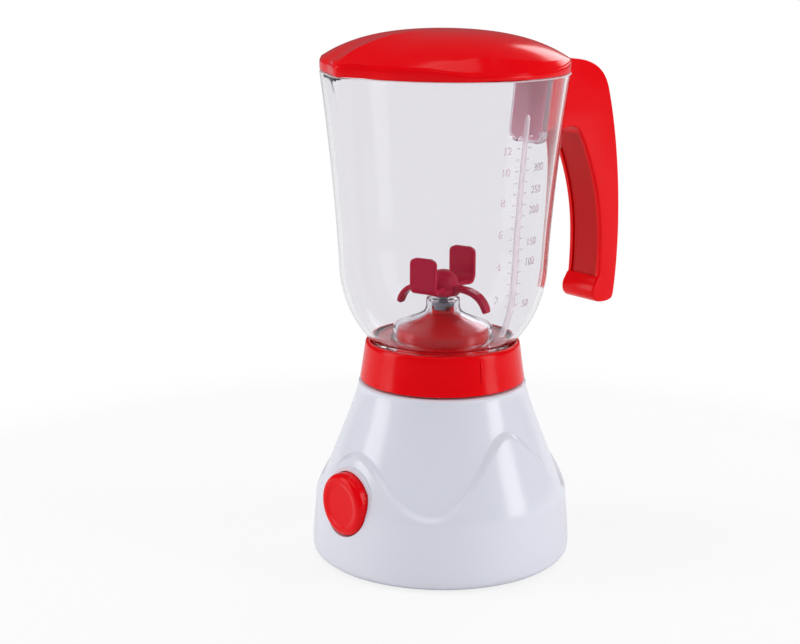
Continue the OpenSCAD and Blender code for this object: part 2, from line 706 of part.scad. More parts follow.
// Two lugs of a dog, each a sixth of a ring
module lugs(h, angle) for (a = [angle, angle + 180]) rotate(a) intersection() {
    ring(dog_r, drive_shaft_r + 0.6, h);
    linear_extrude(h) polygon([[0, 0], [9, 0], [9 * cos(30), 9 * sin(30)], [9 * cos(60), 9 * sin(60)]]);
}

module drive_dog() color(red) translate([0, 0, dog_z]) {
    ring(dog_r, drive_shaft_r, dog_t);
    translate([0, 0, dog_t - 0.01]) lugs(lug_h, 0);
}

module jug_dog() color(grey) translate([0, 0, jug_dog_z]) {
    ring(dog_r, blade_shaft_r, dog_t);
    translate([0, 0, -lug_h + 0.01]) lugs(lug_h, 90);
}

// ---- button and switch ----

module button_cap() color(red) difference() {
    union() {
        at_button() spun([[0, flange_y - 1], [button_r, flange_y - 1], [button_r, button_face - 1.6],
            [button_r - 0.5, button_face - 0.6], [button_r - 1.6, button_face],
            [button_r - 3.4, button_face], [button_r - 4.4, button_face - 0.5], [0, button_face - 0.5]]);
        at_button() translate([0, 0, flange_y - flange_t]) cylinder(r = flange_r, h = flange_t);
        at_button() translate([0, 0, bridge_y]) cylinder(r = stem_r, h = button_face - 2 - bridge_y);
    }
    difference() {
        at_button() translate([0, 0, flange_y - flange_t - 1])
            cylinder(r = button_r - button_wall, h = button_face - button_wall - 0.5 - flange_y
                + flange_t + 1);
        at_button() translate([0, 0, bridge_y]) cylinder(r = stem_r, h = 30);
    }
}

module switch_bridge() color(brass) at_button() translate([0, 0, bridge_y - bridge_t])
    linear_extrude(bridge_t) square([11, 5], center = true);

module button_spring() color(steel) at_button() translate([0, 0, block_y + 0.1])
    coil(spring_r, spring_wire_r, button_face - button_wall - 0.5 - block_y - 0.2, 6);

module switch_block() color(grey) difference() {
    box([-block_half, -block_y, button_h - block_half], [block_half, -block_y + block_d, button_h
        + block_half]);
    for (s = [-1, 1]) box([s * 4 - 1.1, -block_y - 1, button_h + 4.9], [s * 4 + 1.1, -block_y
        + block_d + 1, button_h + 5.6]);
}

module switch_contacts() color(brass) for (s = [-1, 1]) {
    box([s * 4 - 1.5, -contact_y, button_h - 2.5], [s * 4 + 1.5, -block_y, button_h + 5.5]);
    box([s * 4 - 1, -block_y - 0.1, button_h + 5], [s * 4 + 1, -block_y + block_d + 2.5, button_h + 5.5]);
}

// Each wire leaves its terminal upwards and runs free to the next
wire_r = 0.6;
module wire(a, lift_a, lift_b, b) tube(curve(a, a + lift_a, b + lift_b, b, 14), wire_r, [1, 0, 0]);
module wires() {
    tab_z = box_top + 2.5 + wire_r;
    lug_y = -block_y + block_d + 2.5 + wire_r;
    terminal = [for (s = [-1, 1]) motor_at + [s * 6.5 * cos(motor_angle), s * 6.5 * sin(motor_angle),
        motor_z - 1.6 - wire_r]];
    color(red) wire([bay_l / 2 - contact_t / 2, -cell_y, tab_z], [0, 0, 12], [18, 14, 0], [4, lug_y,
        button_h + 5.2]);
    color("#22242a") wire([bay_l / 2 - contact_t / 2, cell_y, tab_z], [0, 0, 3], [6, -2, -0.6],
        terminal[0]);
    color(red) wire([-4, lug_y, button_h + 5.2], [-6, 10, 0], [-12, -8, -0.6], terminal[1]);
}

// ---- jug ----

module jug_body() color("#dfe3f2", 0.35) difference() {
    union() {
        difference() {
            union() {
                spun(concat([[foot_r - 1.8, foot_z], [foot_r, foot_z]], jug_line,
                    [[0, rim_z], [0, floor_z], [foot_r - 1.8, floor_z]]));
                spout(0);
            }
            spun(concat([[0, floor_top], [foot_r - 2.2, floor_top]],
                [for (p = shifted(jug_line, jug_wall)) if (p[1] > floor_top + 0.2 && p[1] < rim_z - 1) p],
                [[rim_r - jug_wall, rim_z + 1], [0, rim_z + 1]]));
            spout(1);
        }
        intersection() {
            spun(concat([[0, floor_z], [hub_r, floor_z]], hub_line, [[0, neck_top]]));
            cylinder(r = hub_r, h = neck_top);
        }
        intersection() {
            jug_band(-pocket_out, 0.4);
            round_foot(pocket_half, rim_z - tongue_l - snug - pocket_wall, rim_z - pocket_drop,
                pocket_round);
        }
        intersection() {
            jug_band(-strip_proud, 0.4);
            box([0, -strip_w / 2, collar_top + 7], [rim_r + 5, strip_w / 2, rim_z - strip_top_drop]);
        }
    }
    spun(concat([[0, floor_z - 1], [hub_inside[0][0], floor_z - 1]],
        [for (p = hub_inside) [p[0], min(p[1], cap_z)]], [[0, cap_z]]));
    translate([0, 0, cap_z - 1]) cylinder(r = bush_r, h = 4);
    intersection() {
        jug_band(-slot_in - 2 * snug - tongue_t, -slot_in, 3);
        round_foot(tongue_w / 2 + snug, rim_z - tongue_l - snug, rim_z + 1, pocket_round - pocket_wall);
    }
    translate([-rim_r - 5, -rim_r - 5, rim_z]) cube([2 * rim_r + 10, 2 * rim_r + 10, 5]);
}
hub_inside = shifted(hub_line, hub_wall);
pocket_half = tongue_w / 2 + snug + pocket_wall;
slot_in = 0.05;      // the slot's inner face stands this far off the jug's wall
pocket_out = slot_in + 2 * snug + tongue_t + pocket_wall;
pocket_drop = 0.9;   // the pocket's mouth lies this far below the rim
pocket_round = 3;

// A slab around the handle's side of the jug, from z0 to z1, with round lower corners
module round_foot(half, z0, z1, r) {
    box([-half, 0, z0 + r], [half, rim_r + 9, z1]);
    box([-half + r, 0, z0], [half - r, rim_r + 9, z0 + r + 1]);
    for (s = [-1, 1]) translate([s * (half - r), 0, z0 + r]) rotate([-90, 0, 0]) cylinder(r = r,
        h = rim_r + 9);
}

// The spout's beak, as its outer wedge and as the wedge that hollows it
module spout(hollow) {
    back = rim_r - 4;
    tip = spout_reach - 0.5 - hollow * (jug_wall + 0.9);
    half = spout_half - hollow * jug_wall * 0.8;
    low = rim_z - spout_drop + hollow * jug_wall * 2;
    hull() {
        translate([0, -tip, rim_z - 0.6 + hollow * 0.7]) cylinder(r = 0.5, h = 0.6, $fn = 16);
        for (s = [-1, 1]) translate([s * half, -sqrt(pow(rim_r - 0.6 - hollow * jug_wall, 2)
            - pow(half, 2)), rim_z - 0.6 + hollow * 0.7])
            cylinder(r = 0.5, h = 0.6, $fn = 16);
        translate([0, -jug_r(low) + 0.6 + hollow * jug_wall, low]) sphere(r = 0.5, $fn = 16);
        translate([-half * 0.7, -back, rim_z - 0.6 + hollow * 0.7]) cube([half * 1.4, 1, 0.6]);
    }
}

module blade_bush() color(grey) translate([0, 0, cap_z - 0.2]) ring(bush_r, blade_shaft_r + run,
    stirrer_z + 0.1 - cap_z);

// ---- stirrer ----

stirrer_z = neck_top + 1.2;
paddle_angles = [-70, 110];
arm_angles = [20, 200];
strap_z = stirrer_z + 1.9;

module blade() color(crimson) difference() {
    union() {
        translate([0, 0, stirrer_z]) spun([[0, 0], [stirrer_r - 0.6, 0], [stirrer_r, 0.5], [stirrer_r, 2.2],
            [stirrer_r - 0.4, dome_h * 0.45], [stirrer_r * 0.8, dome_h * 0.7], [stirrer_r * 0.5,
                dome_h * 0.92],
            [stirrer_r * 0.2, dome_h * 0.99], [0, dome_h]]);
        for (a = paddle_angles) rotate(a) paddle();
        for (a = arm_angles) rotate(a) arm();
    }
    translate([0, 0, stirrer_z - 1]) cylinder(r = blade_shaft_r, h = dome_h - 2);
}

// A strap that runs out from the hub, bends up and ends in a broad upright plate
module paddle() {
    bend = 3;
    flat_end = paddle_reach - bend;
    intersection() {
        rotate([90, 0, 0]) linear_extrude(paddle_w, center = true) polygon(concat(
            [[2, strap_z], [flat_end, strap_z]],
            [for (a = [-75:15:0]) [flat_end + bend * cos(a), strap_z + bend + bend * sin(a)]],
            [[paddle_reach, stirrer_z + paddle_top], [paddle_reach - strap_t, stirrer_z + paddle_top]],
            [for (a = [0:-15:-90]) [flat_end + (bend - strap_t) * cos(a), strap_z + bend + (bend
                - strap_t) * sin(a)]],
            [[2, strap_z + strap_t]]));
        union() {
            translate([0, -paddle_w * 0.32, strap_z]) cube([flat_end + 1, paddle_w * 0.64, strap_t * 2]);
            translate([flat_end - 1, 0, 0]) rotate([90, 0, 90]) linear_extrude(bend + 2) {
                translate([-paddle_w / 2, strap_z + 1.5]) square([paddle_w, paddle_top - 5.4]);
                translate([-paddle_w / 2 + 2, strap_z - 0.1]) square([paddle_w - 4, paddle_top - 1.8]);
                for (s = [-1, 1]) {
                    translate([s * (paddle_w / 2 - 2), strap_z + paddle_top - 3.9]) circle(r = 2);
                    translate([s * (paddle_w / 2 - 2), strap_z + 1.9]) circle(r = 2);
                }
            }
        }
    }
}

// A narrow strap that curves outwards and down
module arm() {
    tip_z = stirrer_z - arm_drop;
    rise = strap_z + strap_t - tip_z;
    start_r = arm_reach - rise - 1;
    rotate([90, 0, 0]) linear_extrude(arm_w, center = true) polygon(concat(
        [[2, strap_z]], [for (a = [90:-9:0]) [start_r + (rise + 1 - strap_t) * cos(a), tip_z + (rise
            - strap_t) * sin(a)]],
        [for (a = [0:9:90]) [start_r + (rise + 1) * cos(a), tip_z + rise * sin(a)]], [[2, strap_z
            + strap_t]]));
}

module blade_shaft() color(steel) translate([0, 0, jug_dog_z]) cylinder(r = blade_shaft_r,
    h = stirrer_z + dome_h - 3 - jug_dog_z);

// ---- handle ----

hinge_y = rim_r + 3.2;
hinge_z = rim_z + 2;
ear_in = 3.2;
lid_gap = 0.3;
handle_top = rim_z + 2.1;
handle_low = rim_z - handle_drop;
grip_back = curve([handle_reach - 7.8, rim_z - 10.4], [handle_reach - 1.7, rim_z - 30.4],
    [handle_reach + 2.3, rim_z - 63.4], [handle_reach - 1.8, handle_low + 3.6], 10);
shoulder = curve([hinge_y + 2.5, handle_top], [hinge_y + 16.5, handle_top + 0.5],
    [handle_reach - 10.7, handle_top - 3], [handle_reach - 7.8, rim_z - 10.4], 8);
grip_front = curve([handle_reach - grip_t - 0.4, handle_low + 10.5], [handle_reach - grip_t + 0.9,
    handle_low + 29],
    [handle_reach - grip_t + 0.5, handle_low + 46], [handle_reach - 22.7, handle_low + 69], 10);
toe = [[handle_reach - 4, handle_low + 0.6], [handle_reach - 6, handle_low], [handle_reach - 9,
    handle_low + 0.1],
    [handle_reach - 12, handle_low + 0.7], [handle_reach - 13.4, handle_low + 2.2],
    [handle_reach - 14, handle_low + 4.4], [handle_reach - 13.8, handle_low + 6.4], [handle_reach
        - 12.4, handle_low + 8.6]];
arch_low = [[handle_reach - 24.2, handle_low + 71], [handle_reach - 26.8, handle_low + 72.4],
    [handle_reach - 30, handle_low + 72.2], [rim_r - 8, handle_low + 69.4]];
handle_outline = concat([[rim_r - 8, handle_top]], shoulder, grip_back, toe, grip_front, arch_low);
function between(a, b, t) = a + (b - a) * t;
cover_last = len(grip_front) - 1;
cover_line = concat([between(grip_front[0], grip_front[1], 0.06)],
    [for (i = [1:cover_last - 1]) grip_front[i]],
    [between(grip_front[cover_last], grip_front[cover_last - 1], 0.06)]);
cover_back = shifted(cover_line, -cover_inset - cover_t);
cover_outline = concat(shifted(cover_line, -cover_inset), reversed(cover_back));
mouth = shifted(grip_front, 3);
cavity_back = shifted(grip_front, -cover_inset - cover_t - snug);
cavity = concat(shifted(grip_back, -handle_wall), [cavity_back[0]], mouth, [cavity_back[cover_last]]);
ear_w = 2.9;

module handle_shell() color(red) difference() {
    union() {
        difference() {
            side_plate(handle_outline, handle_w);
            side_plate(cavity, handle_w - 2 * handle_wall);
            jug_solid(-pocket_out - fit);
            translate([0, 0, rim_z - 4]) cylinder(r = rim_r + pocket_out + fit + 0.1, h = 4
                - pocket_drop + fit);
        }
        intersection() {
            jug_band(-slot_in - snug - tongue_t, -slot_in - snug, 1.6);
            round_foot(tongue_w / 2, rim_z - tongue_l, rim_z + 1.5, pocket_round - pocket_wall - snug);
        }
        for (s = [-1, 1]) translate([s > 0 ? ear_in : -ear_in - ear_w, hinge_y, hinge_z])
            rotate([0, 90, 0]) cylinder(r = knuckle_r, h = ear_w);
    }
    translate([0, 0, rim_z - pocket_drop]) cylinder(r = rim_r + fit - 0.05, h = 10);
    box([-ear_in, 0, rim_z - 2], [ear_in, hinge_y + knuckle_r + 0.5, rim_z + 8]);
    hinge_bore();
}
module hinge_bore() translate([-ear_in - 2.4, hinge_y, hinge_z]) rotate([0, 90, 0])
    cylinder(r = stub_r + run, h = 2 * ear_in + 4.8);

module handle_cover() color("#be080a") side_plate(cover_outline, handle_w - 2 * handle_wall - 2 * snug);

// ---- lid ----

lid_low = rim_z + lid_gap;
function dome_z(r, crown, edge) = let(q = r / rim_r) crown - (crown - edge) * (0.54 * q * q
    + 0.46 * pow(q, 4));
function dome_line(r_max, crown, edge, n = 9) =
    [for (i = [n:-1:0]) let(r = r_max * i / n) [r, dome_z(r, crown, edge)]];

// A keel of small blocks from the spout's tip up to the crown
module keel(drop, reach) for (q = [0.99, 0.87, 0.69, 0.49]) let(y = reach * q)
    translate([-0.2, -y, rim_z - drop - 0.2 + (q > 0.95 ? 2.4 : dome_z(min(y, rim_r), lid_rise, lid_edge)
        + keel_rise * (q > 0.8 ? 1 : q > 0.6 ? 0.6 : 0.35))]) cube([0.4, 0.2, 0.2]);

module lid_shape(drop) hull() {
    spun(concat([[0, lid_low - drop], [rim_r - 0.2 - drop, lid_low - drop], [rim_r - drop, lid_low
        + lid_edge - 2]],
        [for (p = dome_line(rim_r - 0.6 - drop, lid_rise - drop, lid_edge - drop)) p + [0, rim_z]]),
            $fn = 64);
    translate([-0.2, -spout_reach + 0.1 + drop * 1.5, lid_low - drop]) cube([0.4, 0.2, 0.2]);
    keel(drop, spout_reach - drop * 1.5);
}

module lid() color(red) union() {
    difference() {
        lid_shape(0);
        lid_shape(lid_wall);
    }
    translate([0, 0, rim_z - 0.8]) ring(skirt_r, skirt_r - 1.4,
        dome_z(skirt_r, lid_rise, lid_edge) - lid_wall / 2 + 0.8);
    box([-ear_in + fit, rim_r - 2.5, hinge_z - 1.4], [ear_in - fit, hinge_y, hinge_z + 1.4]);
    translate([-ear_in + fit, hinge_y, hinge_z]) rotate([0, 90, 0])
        cylinder(r = knuckle_r - 0.1, h = 2 * (ear_in - fit));
    translate([-ear_in - 2.2, hinge_y, hinge_z]) rotate([0, 90, 0]) cylinder(r = stub_r,
        h = 2 * ear_in + 4.4);
}

base_housing();
base_plate();
plate_screws();
battery_door();
battery_door_screw();
batteries();
battery_contacts();
battery_springs();
collar();
collar_screws();
tower_bush();
gearbox_frame();
gearbox_cover();
gearbox_screws();
idler_axle();
idler_gear();
motor_can();
motor_end_cap();
motor_magnets();
motor_rotor();
motor_shaft();
motor_pinion();
output_gear();
drive_shaft();
drive_dog();
button_cap();
switch_bridge();
button_spring();
switch_block();
switch_contacts();
wires();
jug_body();
blade_bush();
handle_shell();
handle_cover();
lid();
blade();
blade_shaft();
jug_dog();
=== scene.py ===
"""Toy blender: the looks of its moulded shells, clear jug, lid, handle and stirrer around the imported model."""

import math

import bpy
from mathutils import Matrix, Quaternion, Vector


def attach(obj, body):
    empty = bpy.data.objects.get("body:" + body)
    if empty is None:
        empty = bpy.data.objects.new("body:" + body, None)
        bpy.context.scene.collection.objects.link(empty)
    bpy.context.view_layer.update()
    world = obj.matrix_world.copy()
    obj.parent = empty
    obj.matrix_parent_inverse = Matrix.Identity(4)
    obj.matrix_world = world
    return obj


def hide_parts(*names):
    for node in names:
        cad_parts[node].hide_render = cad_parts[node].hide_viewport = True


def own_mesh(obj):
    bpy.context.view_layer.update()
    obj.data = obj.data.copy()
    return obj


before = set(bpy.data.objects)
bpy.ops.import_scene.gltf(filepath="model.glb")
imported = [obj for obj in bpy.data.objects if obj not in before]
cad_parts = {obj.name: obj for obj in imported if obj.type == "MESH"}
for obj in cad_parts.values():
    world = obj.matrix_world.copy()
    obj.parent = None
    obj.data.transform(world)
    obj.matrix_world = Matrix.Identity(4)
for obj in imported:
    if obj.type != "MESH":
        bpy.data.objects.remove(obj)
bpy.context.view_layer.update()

bl_info = {
    "name": "Toy blender",
    "version": (1, 0, 0),
    "blender": (4, 5, 0),
    "location": "View3D > Sidebar > Toy blender",
    "description": "Builds the looks of a toy blender around its CAD frame",
    "category": "Object",
}

MM = 0.001
TURN = 2 * math.pi
STEPS = 192  # segments around the big turned shells


# ---- colours and sizes that a user would change ----


def linear(hex_code):
    """An sRGB hex colour as the linear colour that shaders take."""
    parts = [int(hex_code[i : i + 2], 16) / 255 for i in (0, 2, 4)]
    return [c / 12.92 if c <= 0.04045 else ((c + 0.055) / 1.055) ** 2.4 for c in parts]


def colour(name, description, hex_code):
    return bpy.props.FloatVectorProperty(
        name=name, description=description, subtype="COLOR", size=3, min=0, max=1, default=linear(hex_code)
    )


def length(name, description, mm):
    return bpy.props.FloatProperty(name=name, description=description, default=mm * MM, unit="LENGTH", precision=5)


class BlenderColours(bpy.types.PropertyGroup):
    red: colour("Red", "Red of the lid, collar, button and handle", "F2000C")
    dark_red: colour("Dark red", "Red of the grip's inner cover", "C80A0C")
    crimson: colour("Crimson", "Crimson of the stirrer", "B80436")
    white: colour("White", "White of the base", "E9EAF2")
    clear: colour("Clear", "Tint of the clear jug", "F0EFF2")
    grey: colour("Grey", "Grey of the inner plastic parts", "8D9096")


class BlenderSizes(bpy.types.PropertyGroup):
    wave_step: length("Wave step", "How far the skirt stands out from the cone", 1.7)
    wave_soft: length("Wave edge", "Width of the rounded edge along the wave", 3.0)
    edge_round: length("Edge rounding", "Rounding of the handle's edges", 1.8)
    relief: length("Relief", "Height of the raised numbers on the jug", 0.35)


def colours():
    return bpy.context.scene.blender_colours


def sizes():
    return bpy.context.scene.blender_sizes


# ---- modelling helpers ----


def deselect():
    if bpy.context.object and bpy.context.object.mode != "OBJECT":
        leave_edit()
    bpy.ops.object.select_all(action="DESELECT")


def activate(*objects):
    """Selects these objects alone, and makes the first one active."""
    deselect()
    for each in objects:
        each.select_set(True)
    bpy.context.view_layer.objects.active = objects[0]
    return objects[0]


def edit(mode="VERT"):
    bpy.ops.object.mode_set(mode="EDIT")
    bpy.ops.mesh.select_mode(type=mode)
    bpy.ops.mesh.select_all(action="SELECT")


def leave_edit():
    bpy.ops.object.mode_set(mode="OBJECT")


def merge_close(mm=0.002):
    bpy.ops.mesh.select_all(action="SELECT")
    bpy.ops.mesh.remove_doubles(threshold=mm * MM)


def extrude(step):
    bpy.ops.mesh.extrude_region_move(TRANSFORM_OT_translate={"value": step})


def apply_transform():
    bpy.ops.object.transform_apply(location=True, rotation=True, scale=True)


def named(name):
    """The active object, with this name for itself and its mesh."""
    obj = bpy.context.object
    obj.name = obj.data.name = name
    return obj


def add_object(name, data):
    obj = bpy.data.objects.new(name, data)
    bpy.context.scene.collection.objects.link(obj)
    return obj


def start_point(name, place):
    """A mesh of one vertex, made from a plane whose corners are merged."""
    deselect()
    bpy.ops.mesh.primitive_plane_add(size=0.001, location=(0, 0, 0))
    obj = named(name)
    edit()
    bpy.ops.mesh.merge(type="CENTER")
    bpy.ops.transform.translate(value=place)
    return obj


def chain(name, points, closed):
    """A line of edges through the points, drawn by extruding a vertex, and left in edit mode."""
    obj = start_point(name, points[0])
    if closed:
        points = [*points, points[0]]
    for before, after in zip(points, points[1:]):
        extrude(Vector(after) - Vector(before))
    merge_close()
    return obj


def sheet(name, row, count, step, cuts=0):
    """An open sheet: a row of points in millimetres, cut finer, then drawn out count times by a step in metres."""
    obj = chain(name, [tuple(c * MM for c in point) for point in row], False)
    if cuts:
        bpy.ops.mesh.subdivide(number_cuts=cuts)
    bpy.ops.mesh.select_all(action="SELECT")
    for _ in range(count):
        extrude(step)
    leave_edit()
    return obj


def lathe(name, profile, closed=True, steps=STEPS):
    """A solid, or an open skin, turned from (radius, height) points in millimetres around +Z."""
    obj = chain(name, [(r * MM, 0.0, z * MM) for r, z in profile], closed)
    bpy.ops.mesh.spin(steps=steps, angle=TURN, center=(0, 0, 0), axis=(0, 0, 1), use_auto_merge=True)
    merge_close()
    bpy.ops.mesh.delete_loose()
    if closed:
        bpy.ops.mesh.select_all(action="SELECT")
        bpy.ops.mesh.normals_make_consistent(inside=False)
    leave_edit()
    return obj


def point_outwards(obj):
    """Turns an open skin's faces away from a point low inside the toy."""
    middle = Vector((0, 0, 0.02))
    total = sum(face.normal.dot(face.center - middle) for face in obj.data.polygons)
    if total < 0:
        activate(obj)
        edit("FACE")
        bpy.ops.mesh.flip_normals()
        leave_edit()
    return obj


def plate(name, outline, width, x0=0.0):
    """A plate whose outline is drawn in the (Y, Z) plane in millimetres, centred on x0."""
    obj = chain(name, [((x0 - width / 2) * MM, y * MM, z * MM) for y, z in outline], True)
    bpy.ops.mesh.edge_face_add()
    extrude((width * MM, 0, 0))
    bpy.ops.mesh.select_all(action="SELECT")
    bpy.ops.mesh.normals_make_consistent(inside=False)
    leave_edit()
    return obj


def block(name, low, high):
    """A box between two corners in millimetres."""
    deselect()
    middle = [(a + b) / 2 * MM for a, b in zip(low, high)]
    bpy.ops.mesh.primitive_cube_add(size=1, location=middle)
    obj = named(name)
    obj.scale = [(b - a) * MM for a, b in zip(low, high)]
    apply_transform()
    return obj


def rod(name, radius, start, end, segments=64):
    """A round bar from one point to another, in millimetres."""
    deselect()
    a, b = Vector(start) * MM, Vector(end) * MM
    bpy.ops.mesh.primitive_cylinder_add(
        vertices=segments, radius=radius * MM, depth=(b - a).length, location=(a + b) / 2
    )
    obj = named(name)
    obj.rotation_euler = (b - a).to_track_quat("Z", "Y").to_euler()
    apply_transform()
    return obj


def modify(obj, kind, **settings):
    """Adds a modifier, applies it and keeps nothing live."""
    activate(obj)
    modifier = obj.modifiers.new(kind.title(), kind)
    for key, value in settings.items():
        setattr(modifier, key, value)
    bpy.ops.object.modifier_apply(modifier=modifier.name)
    return obj


def bevel(obj, width, segments=3, degrees=35):
    return modify(
        obj, "BEVEL", width=width * MM, segments=segments, limit_method="ANGLE", angle_limit=math.radians(degrees)
    )


def cut(obj, *tools):
    """Takes the tools' shapes out of a piece, and removes the tools."""
    for tool in tools:
        modify(obj, "BOOLEAN", operation="DIFFERENCE", solver="EXACT", object=tool)
        bpy.data.objects.remove(tool)
    return obj


def join(obj, *others):
    activate(obj, *others)
    bpy.ops.object.join()
    return obj


def smooth(obj, degrees=35):
    activate(obj)
    bpy.ops.object.shade_smooth_by_angle(angle=math.radians(degrees))
    return obj


def turned(obj, rotation):
    """Turns a piece about the origin and keeps the turn in its mesh."""
    activate(obj)
    obj.rotation_euler = rotation
    apply_transform()
    return obj


def to_front(obj):
    """Lays a piece turned around +Z down along the button's axis, facing the front."""
    turned(obj, (math.pi / 2, 0, 0))
    obj.location = (0, 0, BUTTON_Z * MM)
    apply_transform()
    return obj


def shaped(obj, place):
    """Moves every vertex to where place(x, y, z) puts it, all in millimetres."""
    for vertex in obj.data.vertices:
        vertex.co = Vector(place(*(vertex.co / MM))) * MM
    obj.data.update()
    return obj


def even_faces(obj, merge_mm=0.0):
    """Merges close vertices, if asked to, and turns all faces the same way."""
    activate(obj)
    edit("FACE")
    if merge_mm:
        merge_close(merge_mm)
    bpy.ops.mesh.normals_make_consistent(inside=False)
    leave_edit()
    return obj


def finished(obj, finish, body, slot, *nodes, degrees=35):
    """Gives a piece its material and its body, and hides the CAD nodes it stands for; its slot is not used."""
    smooth(obj, degrees)
    obj.data.materials.clear()
    obj.data.materials.append(MATERIALS[finish])
    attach(obj, body)
    if nodes:
        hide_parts(*nodes)
    return obj


# ---- small geometry ----


def bezier(a, b, c, d, count):
    """Points along a cubic curve, both ends included."""
    found = []
    for i in range(count + 1):
        t = i / count
        k = ((1 - t) ** 3, 3 * (1 - t) ** 2 * t, 3 * (1 - t) * t * t, t**3)
        found.append(tuple(sum(w * p[axis] for w, p in zip(k, (a, b, c, d))) for axis in (0, 1)))
    return found


def spline(points, count):
    """A smooth line through the points, with count pieces between each two."""
    found = []
    for i in range(len(points) - 1):
        before, a, b, after = (points[max(0, min(len(points) - 1, i + k))] for k in (-1, 0, 1, 2))
        for j in range(count):
            t = j / count
            found.append(
                tuple(
                    0.5
                    * (
                        2 * a[m]
                        + (b[m] - before[m]) * t
                        + (2 * before[m] - 5 * a[m] + 4 * b[m] - after[m]) * t * t
                        + (3 * a[m] - before[m] - 3 * b[m] + after[m]) * t**3
                    )
                    for m in (0, 1)
                )
            )
    return found + [tuple(points[-1])]


def offset(points, distance):
    """A line moved to its left, seen along its direction."""
    found = []
    for i, point in enumerate(points):
        a, b = points[max(i - 1, 0)], points[min(i + 1, len(points) - 1)]
        dx, dz = b[0] - a[0], b[1] - a[1]
        size = math.hypot(dx, dz)
        found.append((point[0] - dz / size * distance, point[1] + dx / size * distance))
    return found


def along(table, x):
    """Reads a value off a table of (key, value) pairs sorted by key."""
    if x <= table[0][0]:
        return table[0][1]
    for (a, va), (b, vb) in zip(table, table[1:]):
        if x <= b:
            return va + (vb - va) * (x - a) / (b - a)
    return table[-1][1]


def ease(t):
    t = max(0.0, min(1.0, t))
    return t * t * (3 - 2 * t)


# ---- materials ----


def add_node(tree, kind, inputs=None, **settings):
    """Adds a shader node with its settings, and its inputs as values or links."""
    node = tree.nodes.new(kind)
    for key, value in settings.items():
        setattr(node, key, value)
    for key, value in (inputs or {}).items():
        if isinstance(value, bpy.types.NodeSocket):
            tree.links.new(value, node.inputs[key])
        else:
            node.inputs[key].default_value = value
    return node


def new_material(name):
    material = bpy.data.materials.new(name)
    material.use_nodes = True
    material.node_tree.nodes.clear()
    return material, material.node_tree


def noise(tree, place, size_mm, detail, **inputs):
    """Noise whose grains are this large."""
    inputs = {"Vector": place, "Scale": 1 / (size_mm * MM), "Detail": detail, **inputs}
    return add_node(tree, "ShaderNodeTexNoise", inputs)


def bump(tree, texture, depth_mm):
    inputs = {"Height": texture.outputs["Fac"], "Strength": 1.0, "Distance": depth_mm * MM}
    return add_node(tree, "ShaderNodeBump", inputs).outputs["Normal"]


def uneven(tree, texture, low, high, **inputs):
    """A roughness that follows a texture between two values."""
    inputs = {"Value": texture.outputs["Fac"], "To Min": low, "To Max": high, **inputs}
    return add_node(tree, "ShaderNodeMapRange", inputs).outputs["Result"]


def principled(tree, tint, inputs):
    return add_node(tree, "ShaderNodeBsdfPrincipled", {"Base Color": (*tint, 1), **inputs}).outputs["BSDF"]


def output(tree, shader, kind="Material"):
    add_node(tree, "ShaderNodeOutput" + kind, {"Surface": shader})


def combine(tree, operation, a, b):
    """One sum of the shader tree, as its output."""
    return add_node(tree, "ShaderNodeMath", {0: a, 1: b}, operation=operation).outputs[0]


def blend(tree, share, first, second):
    return add_node(tree, "ShaderNodeMixShader", {0: share, 1: first, 2: second}).outputs["Shader"]


def plastic(name, tint, roughness=0.2, grain_mm=0.6, depth_mm=0.004, gloss_level=0.5):
    """A moulded plastic: one even colour, a faint sink and a fine grain from the mould."""
    material, tree = new_material(name)
    place = add_node(tree, "ShaderNodeTexCoord").outputs["Object"]
    grain = noise(tree, place, grain_mm, 2.0, Roughness=0.5)
    sink = noise(tree, place, 14, 1.0)
    gloss = uneven(tree, sink, roughness * 0.85, roughness * 1.2, **{"From Min": 0.3, "From Max": 0.7})
    look = {"Roughness": gloss, "IOR": 1.5, "Specular IOR Level": gloss_level, "Normal": bump(tree, grain, depth_mm)}
    output(tree, principled(tree, tint, look))
    return material


def metal(name, tint, roughness, line_mm=0.15):
    """A drawn or turned metal: fine lines from the tool roughen it unevenly."""
    material, tree = new_material(name)
    place = add_node(tree, "ShaderNodeTexCoord").outputs["Object"]
    stretched = add_node(tree, "ShaderNodeMapping", {"Vector": place, "Scale": (1, 1, 8)}).outputs["Vector"]
    gloss = uneven(tree, noise(tree, stretched, line_mm * 8, 3.0), roughness * 0.6, roughness * 1.4)
    output(tree, principled(tree, tint, {"Metallic": 1.0, "Roughness": gloss}))
    return material


def clear_styrene(name, tint, veil, roughness=0.03):
    """Clear moulded polystyrene: see-through, with a faint veil, and light passes on to what is behind."""
    material, tree = new_material(name)
    place = add_node(tree, "ShaderNodeTexCoord").outputs["Object"]
    normal = bump(tree, noise(tree, place, 9, 1.0), 0.01)
    look = {"Roughness": roughness, "IOR": 1.18, "Transmission Weight": 1.0 - veil, "Normal": normal}
    solid = principled(tree, tint, look)
    passing = add_node(tree, "ShaderNodeBsdfTransparent", {"Color": (0.96, 0.96, 0.97, 1)}).outputs["BSDF"]
    rays = add_node(tree, "ShaderNodeLightPath")
    output(tree, blend(tree, rays.outputs["Is Shadow Ray"], solid, passing))
    return material


